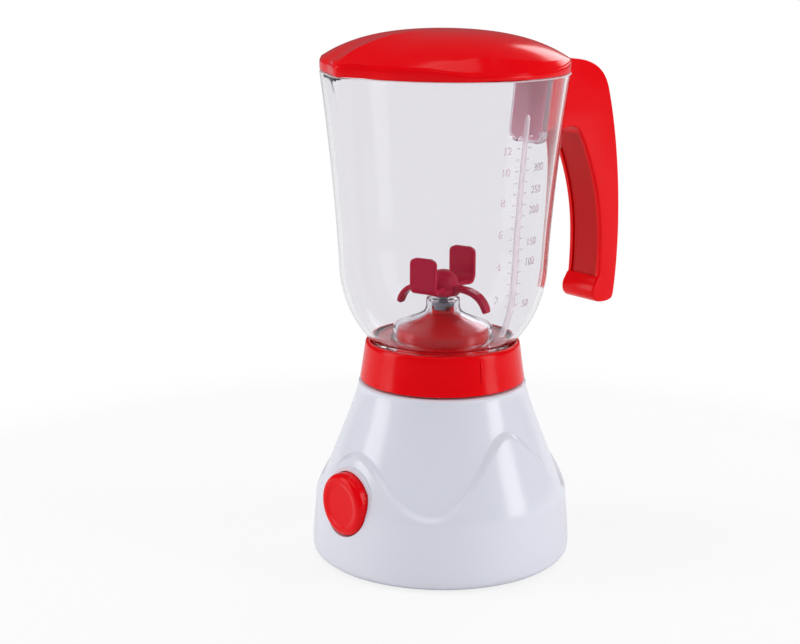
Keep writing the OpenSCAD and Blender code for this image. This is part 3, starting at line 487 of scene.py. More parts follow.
def make_materials():
    """Every finish of the toy, named for what the real one is, besides the veils that paint glare and highlight on the
    clear plastic.
    """
    c = colours()
    made = {
        # High-gloss ABS from a polished mould: sharp but slightly soft highlights
        "red": plastic("Red moulded ABS", c.red, 0.16, gloss_level=0.16),
        "dark_red": plastic("Dark red moulded ABS", c.dark_red, 0.3, gloss_level=0.15),
        "crimson": plastic("Crimson moulded ABS", c.crimson, 0.17, gloss_level=0.12),
        "white": plastic("White moulded ABS", c.white, 0.17),
        # Inner parts from an unpolished mould: duller
        "grey": plastic("Grey moulded ABS", c.grey, 0.45, grain_mm=0.4, depth_mm=0.01),
        "dark": plastic("Black moulded nylon", linear("33363C"), 0.5, grain_mm=0.4, depth_mm=0.01),
        # Acetal gear wheels: milky and waxy
        "nylon": plastic("Natural acetal", linear("EFEBDD"), 0.38, grain_mm=0.4),
        "steel": metal("Nickelled steel", linear("C6C8CC"), 0.28),
        "brass": metal("Stamped brass", linear("D6B25A"), 0.3),
        "copper": metal("Enamelled copper wire", linear("B4602F"), 0.35, line_mm=0.3),
        "cell": metal("Printed steel cell jacket", linear("7D828A"), 0.4),
        "ferrite": plastic("Sintered ferrite", linear("3A3A3C"), 0.7, grain_mm=0.2, depth_mm=0.02),
        "wire": plastic("PVC wire insulation", linear("A3121A"), 0.4),
        "clear": clear_styrene("Clear moulded polystyrene", c.clear, 0.0),
        # Raised marks catch the light on their many small edges
        "veiled": clear_styrene("Clear polystyrene relief", linear("F7EDF2"), 0.3, 0.1),
        # The pocket's faint veil and the pink sheet behind it are painted glare: the wash of highlights that the clear
        # walls lay over the red tongue
        "pocket": clear_styrene("Clear polystyrene pocket", linear("F7EDF2"), 0.2, 0.1),
        "pocket_glare": clear_styrene("Painted glare over the tongue", linear("FFCBD9"), 0.7, 0.1),
        # The rim's milky white veil paints the highlight along the clear edge; its roughness makes it duller
        "rim": clear_styrene("Painted highlight on the clear rim", linear("FBF8FA"), 0.7, 0.3),
    }
    return made


MATERIALS = {}

NODE_FINISH = {
    "white": ["base_plate", "battery_door"],
    "steel": [
        "plate_screws", "battery_door_screw", "battery_springs", "collar_screws", "gearbox_screws", "idler_axle",
        "motor_can", "motor_shaft", "drive_shaft", "blade_shaft",
    ],
    "cell": ["batteries"],
    "brass": ["battery_contacts", "motor_pinion", "switch_bridge", "switch_contacts"],
    "grey": ["tower_bush", "gearbox_frame", "gearbox_cover", "switch_block", "blade_bush", "jug_dog"],
    "nylon": ["idler_gear", "output_gear"],
    "dark": ["motor_end_cap"],
    "ferrite": ["motor_magnets"],
    "copper": ["motor_rotor"],
    "red": ["drive_dog"],
    "wire": ["wires"],
}


# ---- the outlines that several pieces share, in millimetres ----

BUTTON_Z = 27.5
BASE_TOP = (31.5, 68.2)
SHOULDER = (46.9, 24.5)
CONE = bezier(SHOULDER, (43.4, 37.2), (34.6, 55.0), BASE_TOP, 60)
CONE_RADIUS = [(z, r) for r, z in CONE]
SIDE_CREST, FRONT_CREST, SHOULDER_Z = 54.0, 45.0, 24.5
RIM_Z, RIM_R, WALL = 185.4, 46.3, 1.8
FLOOR_TOP = 85.1
BELLY = (39.3, 113.4)
BOWL = bezier((27.2, 83.9), (32.2, 88.6), (38.8, 98.9), BELLY, 28)
FLANK = bezier(BELLY, (40.2, 130.9), (42.3, 155.0), (RIM_R, RIM_Z), 36)
JUG_LINE = BOWL + FLANK[1:]
JUG_RADIUS = [(z, r) for r, z in JUG_LINE]
NECK_TOP, CAP_Z, HUB_R = 100.0, 98.8, 19.2
SPOUT_TIP, SPOUT_HALF, SPOUT_LOW = 51.0, 12.9, 165.4
LID_LOW = RIM_Z + 0.3
HINGE = (49.5, 187.4)
EDGE_R = 42.0
# Radius of the lid's finger scoops' upper edge, and their depth, by degrees from the spout
SCOOP_EDGE = [(30, EDGE_R), (44, 43.2), (53, 42.3), (62, 40.5), (72, 39.8), (85, 41.6)]
SCOOP_EDGE += [(101, 44.0), (118, 44.4), (135, 43.0), (150, EDGE_R)]
SCOOP_DEPTH = [(42, 0.0), (50, 0.9), (60, 1.9), (72, 2.5), (85, 2.4), (101, 1.9), (118, 1.0), (132, 0.0)]


def from_front(x, y):
    """The angle between a point and the spout's direction, from 0 to pi."""
    return abs(math.atan2(x, -y))


def beak(angle, radius, tip, half):
    """The radius of an outline that is a circle with a pointed beak at the front."""
    if tip <= radius:
        return radius
    flank_y = math.sqrt(max(radius * radius - half * half, 0.01))
    if angle >= math.atan2(half, flank_y):
        return radius
    # The ray at this angle meets the straight line from the beak's tip to its flank
    dx, dy = half, flank_y - tip
    sx, sy = math.sin(angle), math.cos(angle)
    return max(radius, -dx * tip / (dy * sx - dx * sy)) if abs(dy * sx - dx * sy) > 1e-9 else tip


def soft_beak(angle, radius, tip, half, spread=0.08):
    """The beak's outline with its point and its flanks rounded over a small angle."""
    around_it = [beak(abs(angle + k * spread), radius, tip, half) for k in (-2, -1, 0, 1, 2)]
    return sum(w * r for w, r in zip((1, 2, 3, 2, 1), around_it)) / 9


def wave_height(angle):
    """The height of the wave's line at an angle around the base."""
    crest = SIDE_CREST if abs(math.cos(angle)) > math.cos(math.pi / 4) else FRONT_CREST
    return SHOULDER_Z + 2.5 + (crest - SHOULDER_Z - 2.5) * (1 + math.cos(4 * angle)) / 2


SKIRT = spline([(48.1, 1.3), (49.15, 2.6), (49.5, 5.0), (49.3, 10.0), (48.75, 17.0), (47.95, 24.5), (46.6, 30.0)], 12)
SKIRT_RADIUS = [(z, r) for r, z in SKIRT]


def proud_radius(z, step):
    """The radius of the raised skirt, which runs smoothly into the cone's slope."""
    skirt = along(SKIRT_RADIUS, z)
    raised = along(CONE_RADIUS, z) + step
    return skirt + (raised - skirt) * ease((z - 19.0) / 12.0)


# ---- operators: one for each piece or group ----


class PieceOperator:
    bl_options = {"REGISTER", "UNDO"}


class BLENDERTOY_OT_base(PieceOperator, bpy.types.Operator):
    """Builds the white housing with its waved skirt and its button hole"""

    bl_idname = "blender_toy.base"
    bl_label = "Base housing"

    def execute(self, context):
        step = sizes().wave_step / MM
        soft = sizes().wave_soft / MM
        # The rings are laid out for a level wave line at the nominal height, and then follow the wave.
        # Inside top_r they are the flat top
        nominal, half_edge, wave_r, top_r = 40.0, 1.6, 45, 35
        low, high = 4.9, 66.8
        edge = [-half_edge + 2 * half_edge * i / 14 for i in range(15)]
        rings = [1.3, 1.9, 2.6, 3.4, 4.2]
        rings += [low + (nominal - 2 - low) * i / 22 for i in range(22)]
        rings += [nominal + d for d in edge]
        rings += [nominal + 2 + (high - nominal - 2) * i / 18 for i in range(19)]
        profile = [(50.0, z) for z in rings] + [(31.9, 67.6), (31.3, 68.1), (30.9, 68.2), (18.0, 68.2), (6.0, 68.2)]
        shell = lathe("base_shell", profile, closed=False, steps=240)

        def place(x, y, z):
            angle, r = math.atan2(y, x), math.hypot(x, y)
            if z < low or r < top_r:
                if r > top_r:
                    r = along(SKIRT_RADIUS, z)
                return r * math.cos(angle), r * math.sin(angle), z
            line = wave_height(angle)
            slope = 4 * math.sin(4 * angle) * (line - SHOULDER_Z) / 2 / wave_r
            spread = math.sqrt(1 + slope * slope) * soft / 2
            d = z - nominal
            on_edge = abs(d) <= half_edge + 0.01
            if on_edge:
                new_z = line + d * spread / half_edge
            elif d < 0:
                new_z = low + (line - spread - low) * (z - low) / (nominal - half_edge - low)
            else:
                bottom = line + spread
                new_z = bottom + (high - bottom) * (z - nominal - half_edge) / (high - nominal - half_edge)
            inner = along(CONE_RADIUS, new_z)
            outer = proud_radius(new_z, step)
            share = 1 - ease(d / half_edge / 2 + 0.5) if on_edge else float(d < 0)
            r = inner + (outer - inner) * share
            return r * math.cos(angle), r * math.sin(angle), new_z

        shaped(shell, place)
        point_outwards(shell)
        modify(shell, "SOLIDIFY", thickness=2.2 * MM, offset=-1, use_even_offset=True)
        cut(shell, rod("hole", 12.1, (0, -60, BUTTON_Z), (0, -30, BUTTON_Z), 96))
        guide = lathe("guide", [(13.5, 38.8), (13.5, 44.5), (12.1, 44.5), (12.1, 38.8)], steps=96)
        join(shell, to_front(guide))
        finished(shell, "white", "base", "white_plastic", "base_housing", degrees=28)
        return {"FINISHED"}


class BLENDERTOY_OT_collar(PieceOperator, bpy.types.Operator):
    """Builds the red collar with the groove for the jug's foot and the drive tower"""

    bl_idname = "blender_toy.collar"
    bl_label = "Collar"

    def execute(self, context):
        outer = spline([(31.4, 69.3), (30.75, 73.4), (30.2, 77.2), (29.75, 80.6), (29.5, 82.4)], 6)
        lip = spline([(29.5, 82.4), (29.25, 83.15), (28.75, 83.65), (28.2, 83.75), (27.75, 83.55), (27.5, 83.1)], 3)
        hub = [(17.35, 83.2), (17.32, 86.9)] + spline(
            [(17.1, 87.6), (16.2, 88.1), (13.0, 89.3), (10.0, 90.5), (7.9, 91.6), (6.5, 92.7)], 5
        )
        profile = (
            [(29.7, 69.0), (31.1, 69.0)] + outer + lip[1:]
            + [(27.5, 77.0), (25.1, 77.0), (25.1, 82.9), (24.8, 83.2)] + hub
            + [(5.9, 93.3), (5.5, 93.6), (3.0, 93.6), (3.0, 87.2), (4.8, 87.2), (4.8, 91.5), (6.6, 90.3), (15.5, 86.6)]
            + [(15.5, 81.4), (23.3, 81.4), (23.3, 68.2), (25.1, 68.2), (25.1, 75.2), (29.6, 75.2)]
        )
        collar = lathe("collar_ring", profile)
        pieces = []
        for degrees in (-80, 100):
            catch = lathe("catch", [(16.9, 84.2), (17.55, 84.3), (17.55, 85.5), (16.9, 85.6)])
            activate(catch)
            turn = math.radians(degrees)
            for limit in (-0.15, 0.15):
                edit("FACE")
                angle = turn + limit
                side = (-math.sin(angle), math.cos(angle), 0)
                bpy.ops.mesh.bisect(
                    plane_co=(0, 0, 0), plane_no=side, use_fill=True, clear_inner=limit < 0, clear_outer=limit > 0
                )
                leave_edit()
            # Both cuts together keep only a short arc
            pieces.append(catch)
        rib = block("rib", (0, -0.35, 73.0), (0.9, 0.35, 81.6))
        shaped(rib, lambda x, y, z: (along([(69, 31.4), (77.2, 30.2), (82.4, 29.5)], z) - 0.5 + x, y, z))
        bevel(rib, 0.2, 2)
        pieces.append(turned(rib, (0, 0, math.radians(-12))))
        for degrees in (90, 210, 330):
            boss = rod("boss", 3.0, (20.6, 0, 68.3), (20.6, 0, 82.0), 32)
            pieces.append(turned(boss, (0, 0, math.radians(degrees))))
        join(collar, *pieces)
        finished(collar, "red", "base", "red_plastic", "collar", degrees=30)
        return {"FINISHED"}


class BLENDERTOY_OT_button(PieceOperator, bpy.types.Operator):
    """Builds the round red button with its soft rim and shallow dish"""

    bl_idname = "blender_toy.button"
    bl_label = "Button"

    def execute(self, context):
        face = 49.3
        edge = bezier((11.8, face - 2.3), (11.75, face - 0.9), (11.0, face - 0.05), (9.6, face), 10)
        dish = spline([(9.6, face), (8.7, face - 0.08), (7.9, face - 0.32), (6.4, face - 0.5), (0.0, face - 0.55)], 6)
        profile = (
            [(10.2, 37.3), (13.3, 37.3), (13.3, 38.5), (11.8, 38.5)] + edge + dish[1:]
            + [(0.0, 35.1), (2.5, 35.1), (2.5, face - 2.1), (10.2, face - 2.1)]
        )
        cap = lathe("button_top", profile, steps=128)
        finished(to_front(cap), "red", "button", "red_plastic", "button_cap", degrees=30)
        self.spring()
        return {"FINISHED"}

    def spring(self):
        """The coil behind the button, which the button presses; it is built at one fixed length."""
        low, high, wire, turns, travel = 31.8, 46.8, 0.4, 6, 2.0
        coil_r, around_wire = 8.6, [TURN * i / 10 for i in range(10)]
        ring = [(coil_r + wire * math.cos(a), 0, low + wire + wire * math.sin(a)) for a in around_wire]
        coil = chain("spring_coil", [tuple(c * MM for c in p) for p in ring], True)
        leave_edit()
        pitch = (high - low - 2 * wire) / turns * MM
        modify(coil, "SCREW", angle=TURN, screw_offset=pitch, iterations=turns, steps=32, render_steps=32)
        edit()
        merge_close()
        bpy.ops.mesh.fill_holes(sides=0)
        bpy.ops.mesh.normals_make_consistent(inside=False)
        leave_edit()
        finished(to_front(coil), "steel", "base", "steel", "button_spring")
        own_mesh(coil)


def spout_radius(x, y, z, radius, inset):
    """Where a wall point of this radius lies once the spout is drawn out at the rim."""
    share = max(0.0, min(1.0, (z - SPOUT_LOW) / (RIM_Z - SPOUT_LOW)))
    if share <= 0:
        return radius
    low_r = along(JUG_RADIUS, SPOUT_LOW)
    tip = low_r + (SPOUT_TIP - low_r) * share - inset * 1.05
    return soft_beak(from_front(x, y), radius, tip, SPOUT_HALF * share + 0.4)


def bent_slab(name, half, low, top, away, thickness, corner):
    """A slab bent to the jug's back wall, this far away from it, with round lower corners."""
    slab = block(name, (-half, 0, 0), (half, thickness, 1))
    activate(slab)
    edit("FACE")
    bpy.ops.mesh.subdivide(number_cuts=15)
    leave_edit()

    def place(x, d, h):
        z = low + h * (top - low)
        r = along(JUG_RADIUS, z) + away + d
        down = max(0.0, corner - (z - low))
        x *= (half - corner + math.sqrt(max(corner**2 - down**2, 0.0))) / half
        return x, math.sqrt(r * r - x * x), z

    return shaped(slab, place)


class BLENDERTOY_OT_jug(PieceOperator, bpy.types.Operator):
    """Builds the clear jug: wall, spout, floor, hub, handle pocket and measuring strip"""

    bl_idname = "blender_toy.jug"
    bl_label = "Jug"

    def execute(self, context):
        inner = [p for p in offset(JUG_LINE, WALL) if FLOOR_TOP + 0.6 < p[1] < RIM_Z - 0.6]
        hub = (
            [(HUB_R, FLOOR_TOP + 0.5), (HUB_R - 0.15, FLOOR_TOP + 2.9)]
            + spline([(18.8, 88.9), (17.6, 89.8), (15.0, 90.9), (11.6, 92.2), (8.9, 93.5), (7.1, 94.9), (6.5, 96.4)], 5)
            + [(6.4, 97.6), (6.4, 99.5), (6.2, 99.85), (5.9, 100.0)]
        )
        under = (
            [(4.6, 98.8), (5.0, 98.5), (5.0, 96.3)]
            + spline([(5.2, 95.4), (6.4, 93.7), (8.3, 92.3), (11.0, 91.0), (14.4, 89.6), (16.9, 88.6)], 5)
            + [(17.5, 87.8), (17.8, 84.2), (18.0, 83.5)]
        )
        profile = (
            [(25.6, 77.2), (27.0, 77.2), (27.2, 77.5)] + JUG_LINE[:-1]
            + [(RIM_R, RIM_Z - 0.4), (RIM_R - 0.4, RIM_Z), (RIM_R - WALL + 0.4, RIM_Z)]
            + [(RIM_R - WALL - 0.05, RIM_Z - 0.4)]
            + inner[::-1]
            + [(26.2, 85.4), (25.2, FLOOR_TOP), (20.0, FLOOR_TOP), (19.5, FLOOR_TOP + 0.15)]
            + hub + [(2.4, NECK_TOP), (2.4, CAP_Z)] + under + [(25.2, 83.5), (25.6, 83.1)]
        )
        jug = lathe("jug_shell", profile)

        def draw_spout(x, y, z):
            r = math.hypot(x, y)
            if z < SPOUT_LOW or r < 30:
                return x, y, z
            new = spout_radius(x, y, z, r, max(0.0, along(JUG_RADIUS, z) - r))
            return x * new / r, y * new / r, z

        shaped(jug, draw_spout)
        finished(jug, "clear", "jug", "clear_plastic", "jug_body", degrees=40)
        # The moulded edge of the rim is duller than the wall, and its milky white veil paints the highlight along it
        jug.data.materials.append(MATERIALS["rim"])
        rim_highlight_band = 0.9
        for face in jug.data.polygons:
            if face.center.z > (RIM_Z - rim_highlight_band) * MM:
                face.material_index = 1
        self.pocket()
        self.strip()
        return {"FINISHED"}

    def pocket(self):
        """The clear pocket outside the back wall that takes the handle's tongue, and a pink sheet behind it that paints
        the glare of the clear walls over the tongue.
        """
        top, low, half, round_r = RIM_Z - 0.9, 156.3, 9.2, 3.0
        heights = [top - (top - low - round_r) * i / 24 for i in range(25)]
        heights += [low + round_r * (1 - math.sin(math.radians(a))) for a in range(9, 91, 9)] + [low]
        outline = [(-half, 0.0), (-half, 3.1), (half, 3.1), (half, 0.0)]
        wall = sheet("jug_pocket", [(x, 0, d) for x, d in outline], len(heights) - 1, (0, MM, 0), 9)

        def place(x, y, d):
            row = int(round(y))
            z = heights[row]
            # The lower corners are round, and the last row closes the lower end to the wall
            down = max(0.0, low + round_r - z)
            width = half - round_r + math.sqrt(max(round_r**2 - down**2, 0.0))
            depth = 0.0 if row == len(heights) - 1 else d
            r = along(JUG_RADIUS, z) + 0.02 + depth
            x = x * width / half
            return x, math.sqrt(r * r - x * x), z

        shaped(wall, place)
        even_faces(wall, 0.01)
        modify(wall, "SOLIDIFY", thickness=1.0 * MM, offset=1)
        finished(wall, "pocket", "jug", "clear_plastic", degrees=40)
        # A thin pink sheet on the wall, painted glare over the red tongue seen through the clear walls
        back = bent_slab("jug_pocket_glare_sheet", 9.0, 156.6, 184.4, 0.03, 0.12, 2.8)
        finished(back, "pocket_glare", "jug", "clear_plastic")

    def strip(self):
        """The measuring strip, its ticks and its plain numbers, all raised on the outer wall."""
        bottom, top = 90.8, 173.4
        rows = 90
        across = [(0, y, 0) for y in (-1.3, -1.1, -0.6, 0, 0.6, 1.1, 1.3)]
        body = sheet("measuring_strip", across, rows, (0, 0, MM))

        def place(x, y, z):
            t = z / rows
            height = bottom + (top - bottom) * t
            wide = 1.25 - 0.35 * t
            cap = max(0.0, 1 - ((height - (top - 1.3)) / 1.3) ** 2) ** 0.5 if height > top - 1.3 else 1.0
            y *= wide * max(cap, 0.05)
            crown = 0.8 * (1 - (abs(y) / (1.34 * wide)) ** 4) * max(cap, 0.1)
            r = along(JUG_RADIUS, height) + max(crown, 0.03)
            return math.sqrt(r * r - y * y), y, height

        shaped(body, place)
        point_outwards(even_faces(body))
        modify(body, "SOLIDIFY", thickness=0.5 * MM, offset=-1)
        first, last, ticks = 103.4, 165.6, 16
        levels = [first + i * (last - first) / (ticks - 1) for i in range(ticks)]
        join(body, *[self.tick(side, z) for z in levels for side in (-1, 1)])
        finished(body, "veiled", "jug", "clear_plastic", degrees=40)
        numbers = [(-1, "12", 160.6), (-1, "10", 152.8), (-1, "8", 141.9), (-1, "6", 130.4), (-1, "4", 118.5)]
        numbers += [(-1, "2", 106.2), (1, "350", 164.8), (1, "300", 153.7), (1, "250", 145.6), (1, "200", 138.2)]
        numbers += [(1, "150", 126.4), (1, "100", 118.9), (1, "50", 103.1)]
        words = [self.number(side, word, z) for side, word, z in numbers]
        join(words[0], *words[1:])
        words[0].name = "scale_numbers"
        finished(words[0], "veiled", "jug", "clear_plastic", degrees=40)

    def tick(self, side, z):
        y = side * 2.6
        mark = block("tick", (0, y - 0.75, z - 0.28), (sizes().relief / MM, y + 0.75, z + 0.28))
        bevel(mark, 0.12, 2)
        return shaped(mark, self.on_wall)

    def on_wall(self, x, y, z):
        """Wraps a flat shape around the jug's outer wall: x is the height of its relief."""
        r = along(JUG_RADIUS, z)
        angle = y / r
        return (r - 0.05 + x) * math.cos(angle), (r - 0.05 + x) * math.sin(angle), z

    def number(self, side, word, z):
        deselect()
        bpy.ops.object.text_add(location=(0, 0, 0))
        text = bpy.context.object
        text.data.body = word
        text.data.size = 4.2 * MM
        text.data.extrude = sizes().relief / 2
        text.data.resolution_u = 3
        text.data.align_x = text.data.align_y = "CENTER"
        bpy.ops.object.convert(target="MESH")
        text = turned(named("number_" + word), (math.pi / 2, 0, math.pi / 2))
        even_faces(text, 0.005)
        # The right-hand numbers lean outwards with height
        wide = 7.4 if side < 0 else 7.7 + 1.2 * (z - 103) / 62
        return shaped(text, lambda x, y, h: self.on_wall(x + sizes().relief / MM / 2, y * 0.9 + side * wide, h + z))


class BLENDERTOY_OT_lid(PieceOperator, bpy.types.Operator):
    """Builds the red lid with its ridge over the spout, two finger scoops and its hinge"""

    bl_idname = "blender_toy.lid"
    bl_label = "Lid"

    def execute(self, context):
        crown, rim = 200.4, 189.9
        radii = [0.0] + [EDGE_R * (i / 36) ** 0.85 for i in range(1, 37)]
        radii += [EDGE_R + (45.6 - EDGE_R) * i / 8 for i in range(1, 9)]
        side = bezier((45.9, 189.75), (46.15, 189.5), (46.3, 189.1), (46.28, 188.0), 6)
        side += [(46.25, 187.0), (46.2, LID_LOW + 0.3), (46.1, LID_LOW + 0.1), (45.9, LID_LOW)]

        def dome(r):
            q = r / RIM_R
            return crown - (crown - rim) * (0.54 * q * q + 0.46 * q**4)

        profile = [(r, dome(r)) for r in radii] + side
        lid = lathe("lid_shell", profile, closed=False)

        def place(x, y, z):
            r = math.hypot(x, y)
            if r < 0.01:
                return x, y, z
            angle = from_front(x, y)
            if r < 45.8:
                # One ring of the mesh follows the crisp upper edge of the finger scoops
                upper = along(SCOOP_EDGE, math.degrees(angle))
                new_r = r * upper / EDGE_R if r <= EDGE_R else upper + (r - EDGE_R) * (45.8 - upper) / (45.8 - EDGE_R)
                x, y, r, z = x * new_r / r, y * new_r / r, new_r, dome(new_r)
            share = min(1.0, r / 46.2)
            # The beak: the outline runs out to the spout's tip
            reach = soft_beak(angle, RIM_R, SPOUT_TIP + 0.1, SPOUT_HALF + 0.4, 0.02) / RIM_R
            grow = 1 + (reach - 1) * share**2
            nx, ny = x * grow, y * grow
            if r > 45.8 and z < 189.7:
                # The upright side only gets lower, so that its rings keep their order
                drop = self.scoop(nx, ny) / (rim - LID_LOW)
                return nx, ny, LID_LOW + (z - LID_LOW) * (1 - drop)
            return nx, ny, z + self.ridge(nx, ny, z, dome) - self.scoop(nx, ny)

        shaped(lid, place)
        point_outwards(lid)
        modify(lid, "SOLIDIFY", thickness=2.0 * MM, offset=-1, use_even_offset=False)
        skirt = lathe("skirt", [(37.6, 184.6), (39.0, 184.6), (39.0, 191.6), (37.6, 192.2)], steps=96)
        lug = block("lug", (-2.9, 43.8, 186.0), (2.9, HINGE[0], 188.8))
        knuckle = rod("knuckle", 2.2, (-2.9, *HINGE), (2.9, *HINGE))
        stub = rod("stub", 1.2, (-5.4, *HINGE), (5.4, *HINGE), 32)
        join(lid, skirt, lug, knuckle, stub)
        finished(lid, "red", "lid", "red_plastic", "lid", degrees=16)
        return {"FINISHED"}

    def ridge(self, x, y, z, dome):
        """How far the flat faces beside the ridge stand above the dome."""
        if y > -1:
            return 0.0
        line = [(-51.5, 188.4), (-48.5, 191.2), (-44.9, 193.7), (-40.5, 195.6), (-35.6, 197.1), (-30.5, 198.4)]
        line += [(-25.2, 199.4), (-18.0, 200.1), (-10.0, 200.35), (-1.0, 200.4)]
        top = along(line, y)
        spread = along([(-51.5, 7.0), (-44.0, 12.0), (-35.0, 12.5), (-25.0, 10.0), (-12.0, 5.0), (-1.0, 0.5)], y)
        across = min(1.0, abs(x) / spread)
        edge = dome(min(math.hypot(spread, y), 46.0))
        flat = top + (edge - top) * across
        return max(0.0, flat - z) if across < 1 else 0.0

    def scoop(self, x, y):
        """A shallow finger scoop at each side, with a crisp upper edge."""
        angle = math.degrees(from_front(x, y))
        upper = along(SCOOP_EDGE, angle)
        t = (math.hypot(x, y) - upper) / (46.2 - upper)
        return along(SCOOP_DEPTH, angle) * max(0.0, min(1.0, 1.3 * t))


class BLENDERTOY_OT_handle(PieceOperator, bpy.types.Operator):
    """Builds the red handle, its tongue and ears, and the cover inside its grip"""

    bl_idname = "blender_toy.handle"
    bl_label = "Handle"

    def execute(self, context):
        top = 187.5
        shoulder = bezier((52.0, top), (66.0, 188.0), (74.5, 184.5), (77.4, 175.0), 16)
        back = bezier((77.4, 175.0), (83.5, 155.0), (87.5, 122.0), (83.4, 92.6), 26)
        toe = spline(
            [(83.4, 92.6), (82.6, 90.2), (80.6, 89.2), (77.0, 89.0), (74.0, 89.5), (72.0, 91.0), (71.2, 93.2)]
            + [(71.5, 95.6), (72.6, 97.4), (73.9, 99.5)], 4)
        front = bezier((74.4, 99.5), (75.7, 118.0), (75.3, 135.0), (62.5, 158.0), 30)
        arch = spline([(62.5, 158.0), (61.0, 160.0), (58.4, 161.3), (55.2, 161.2), (47.0, 159.6), (38.3, 158.4)], 5)
        outline = [(38.3, top)] + shoulder + back[1:] + toe[1:-1] + front + arch[1:]
        shell = plate("handle_grip", outline, 18.0)
        beyond = [(r + 3.45, z) for r, z in FLANK if 150 < z < 184.7]
        above = [(49.8, 184.8), (46.55, 184.8), (46.55, 190.0), (0.0, 190.0)]
        bevel(shell, sizes().edge_round / MM, 5, 38)
        cut(shell, lathe("wall", [(0.0, 150.0), *beyond, *above], steps=96))
        mouth = offset(front, 3.0)
        inside = offset(front, -2.7)
        cavity = offset(back, -2.0) + [inside[0]] + mouth + [inside[-1]]
        cut(shell, plate("cavity", cavity, 14.0))
        cut(shell, block("hinge_slot", (-3.2, 40.0, 183.4), (3.2, 52.3, 193.0)))
        # The tongue that slides into the pocket, bent to the wall, with round lower corners
        pieces = [bent_slab("tongue", 7.8, 157.7, 186.9, 0.26, 1.5, 1.8)]
        for x0, x1 in ((-6.1, -3.2), (3.2, 6.1)):
            pieces.append(rod("knuckle", 2.3, (x0, *HINGE), (x1, *HINGE)))
        join(shell, *pieces)
        finished(shell, "red", "jug", "red_plastic", "handle_shell", degrees=32)
        outline = offset(front, -0.7) + offset(front, -2.5)[::-1]
        cover = plate("grip_cover", outline, 13.6)
        finished(cover, "dark_red", "jug", "dark_red_plastic", "handle_cover", degrees=32)
        return {"FINISHED"}


def strap(name, path, widths, thickness, angle):
    """A bent strap of changing width: path is (radius, height), one width for each point."""
    columns = 8
    row = [(0, -1 + 2 * j / columns, 0) for j in range(columns + 1)]
    obj = sheet(name, row, len(path) - 1, (MM, 0, 0))

    def place(x, y, z):
        k = int(round(x))
        return path[k][0], y * widths[k] / 2, path[k][1]

    shaped(obj, place)
    modify(even_faces(obj), "SOLIDIFY", thickness=thickness * MM, offset=0)
    bevel(obj, 0.45, 3, 50)
    return turned(obj, (0, 0, math.radians(angle)))


class BLENDERTOY_OT_stirrer(PieceOperator, bpy.types.Operator):
    """Builds the crimson stirrer: domed hub, two paddles and two bent arms"""

    bl_idname = "blender_toy.stirrer"
    bl_label = "Stirrer"

    def execute(self, context):
        z0 = 101.2
        profile = [(1.0, z0), (5.5, z0)] + bezier((5.7, z0), (6.1, z0), (6.3, z0 + 0.2), (6.3, z0 + 0.6), 4)
        profile += [(6.3, z0 + 1.9)] + bezier((6.3, z0 + 2.1), (6.3, z0 + 2.5), (6.1, z0 + 2.7), (5.8, z0 + 2.8), 4)
        profile += bezier((5.8, z0 + 4.0), (5.8, z0 + 7.0), (3.6, z0 + 9.6), (0.0, z0 + 9.7), 16)
        profile += [(0.0, z0 + 7.0), (1.0, z0 + 7.0)]
        hub = lathe("stirrer_body", profile, steps=96)
        reach, lift, top = 14.9, 3.0, z0 + 16.2
        base = z0 + 2.8
        path = [(2.0 + (reach - lift - 2.0) * i / 6, base) for i in range(7)]
        bend = [math.radians(a) for a in range(15, 91, 15)]
        path += [(reach - lift + lift * math.sin(a), base + lift * (1 - math.cos(a))) for a in bend]
        path += [(reach, base + lift + (top - base - lift) * i / 12) for i in range(1, 13)]
        paddle_widths = [self.paddle_width(k, path, top) for k in range(len(path))]
        pieces = [strap("paddle", path, paddle_widths, 1.8, angle) for angle in (-70, 110)]
        arm = [(2.0, base), (6.0, base), (8.4, base - 0.15)]
        arm += bezier((10.5, base - 0.4), (14.8, base - 1.2), (17.6, base - 3.6), (18.8, z0 - 5.2), 12)
        widths = [4.6, 4.6, 4.6] + [4.5 - 0.3 * i / 12 for i in range(11)] + [3.9, 3.0]
        pieces += [strap("arm", arm, widths, 1.9, angle) for angle in (20, 200)]
        join(hub, *pieces)
        finished(hub, "crimson", "blade", "crimson_plastic", "blade")
        return {"FINISHED"}

    def paddle_width(self, k, path, top):
        """The strap is narrow near the hub and broad with round corners where it stands up."""
        if k <= 4:
            return 7.0
        if k <= 8:
            return 7.0 + 4.0 * ease((k - 4) / 4)
        left = top - path[k][1]
        corner = 2.4
        if left < corner:
            return 11.0 - 2 * (corner - math.sqrt(max(corner**2 - (corner - left) ** 2, 0.0)))
        return 11.0


class BLENDERTOY_OT_inner(PieceOperator, bpy.types.Operator):
    """Gives every carried CAD piece its finish"""

    bl_idname = "blender_toy.inner"
    bl_label = "Inner pieces"

    def execute(self, context):
        for finish, names in NODE_FINISH.items():
            for name in names:
                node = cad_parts[name]
                for slot in node.material_slots:
                    slot.material = MATERIALS[finish]
                if not node.material_slots:
                    node.data.materials.append(MATERIALS[finish])
        return {"FINISHED"}


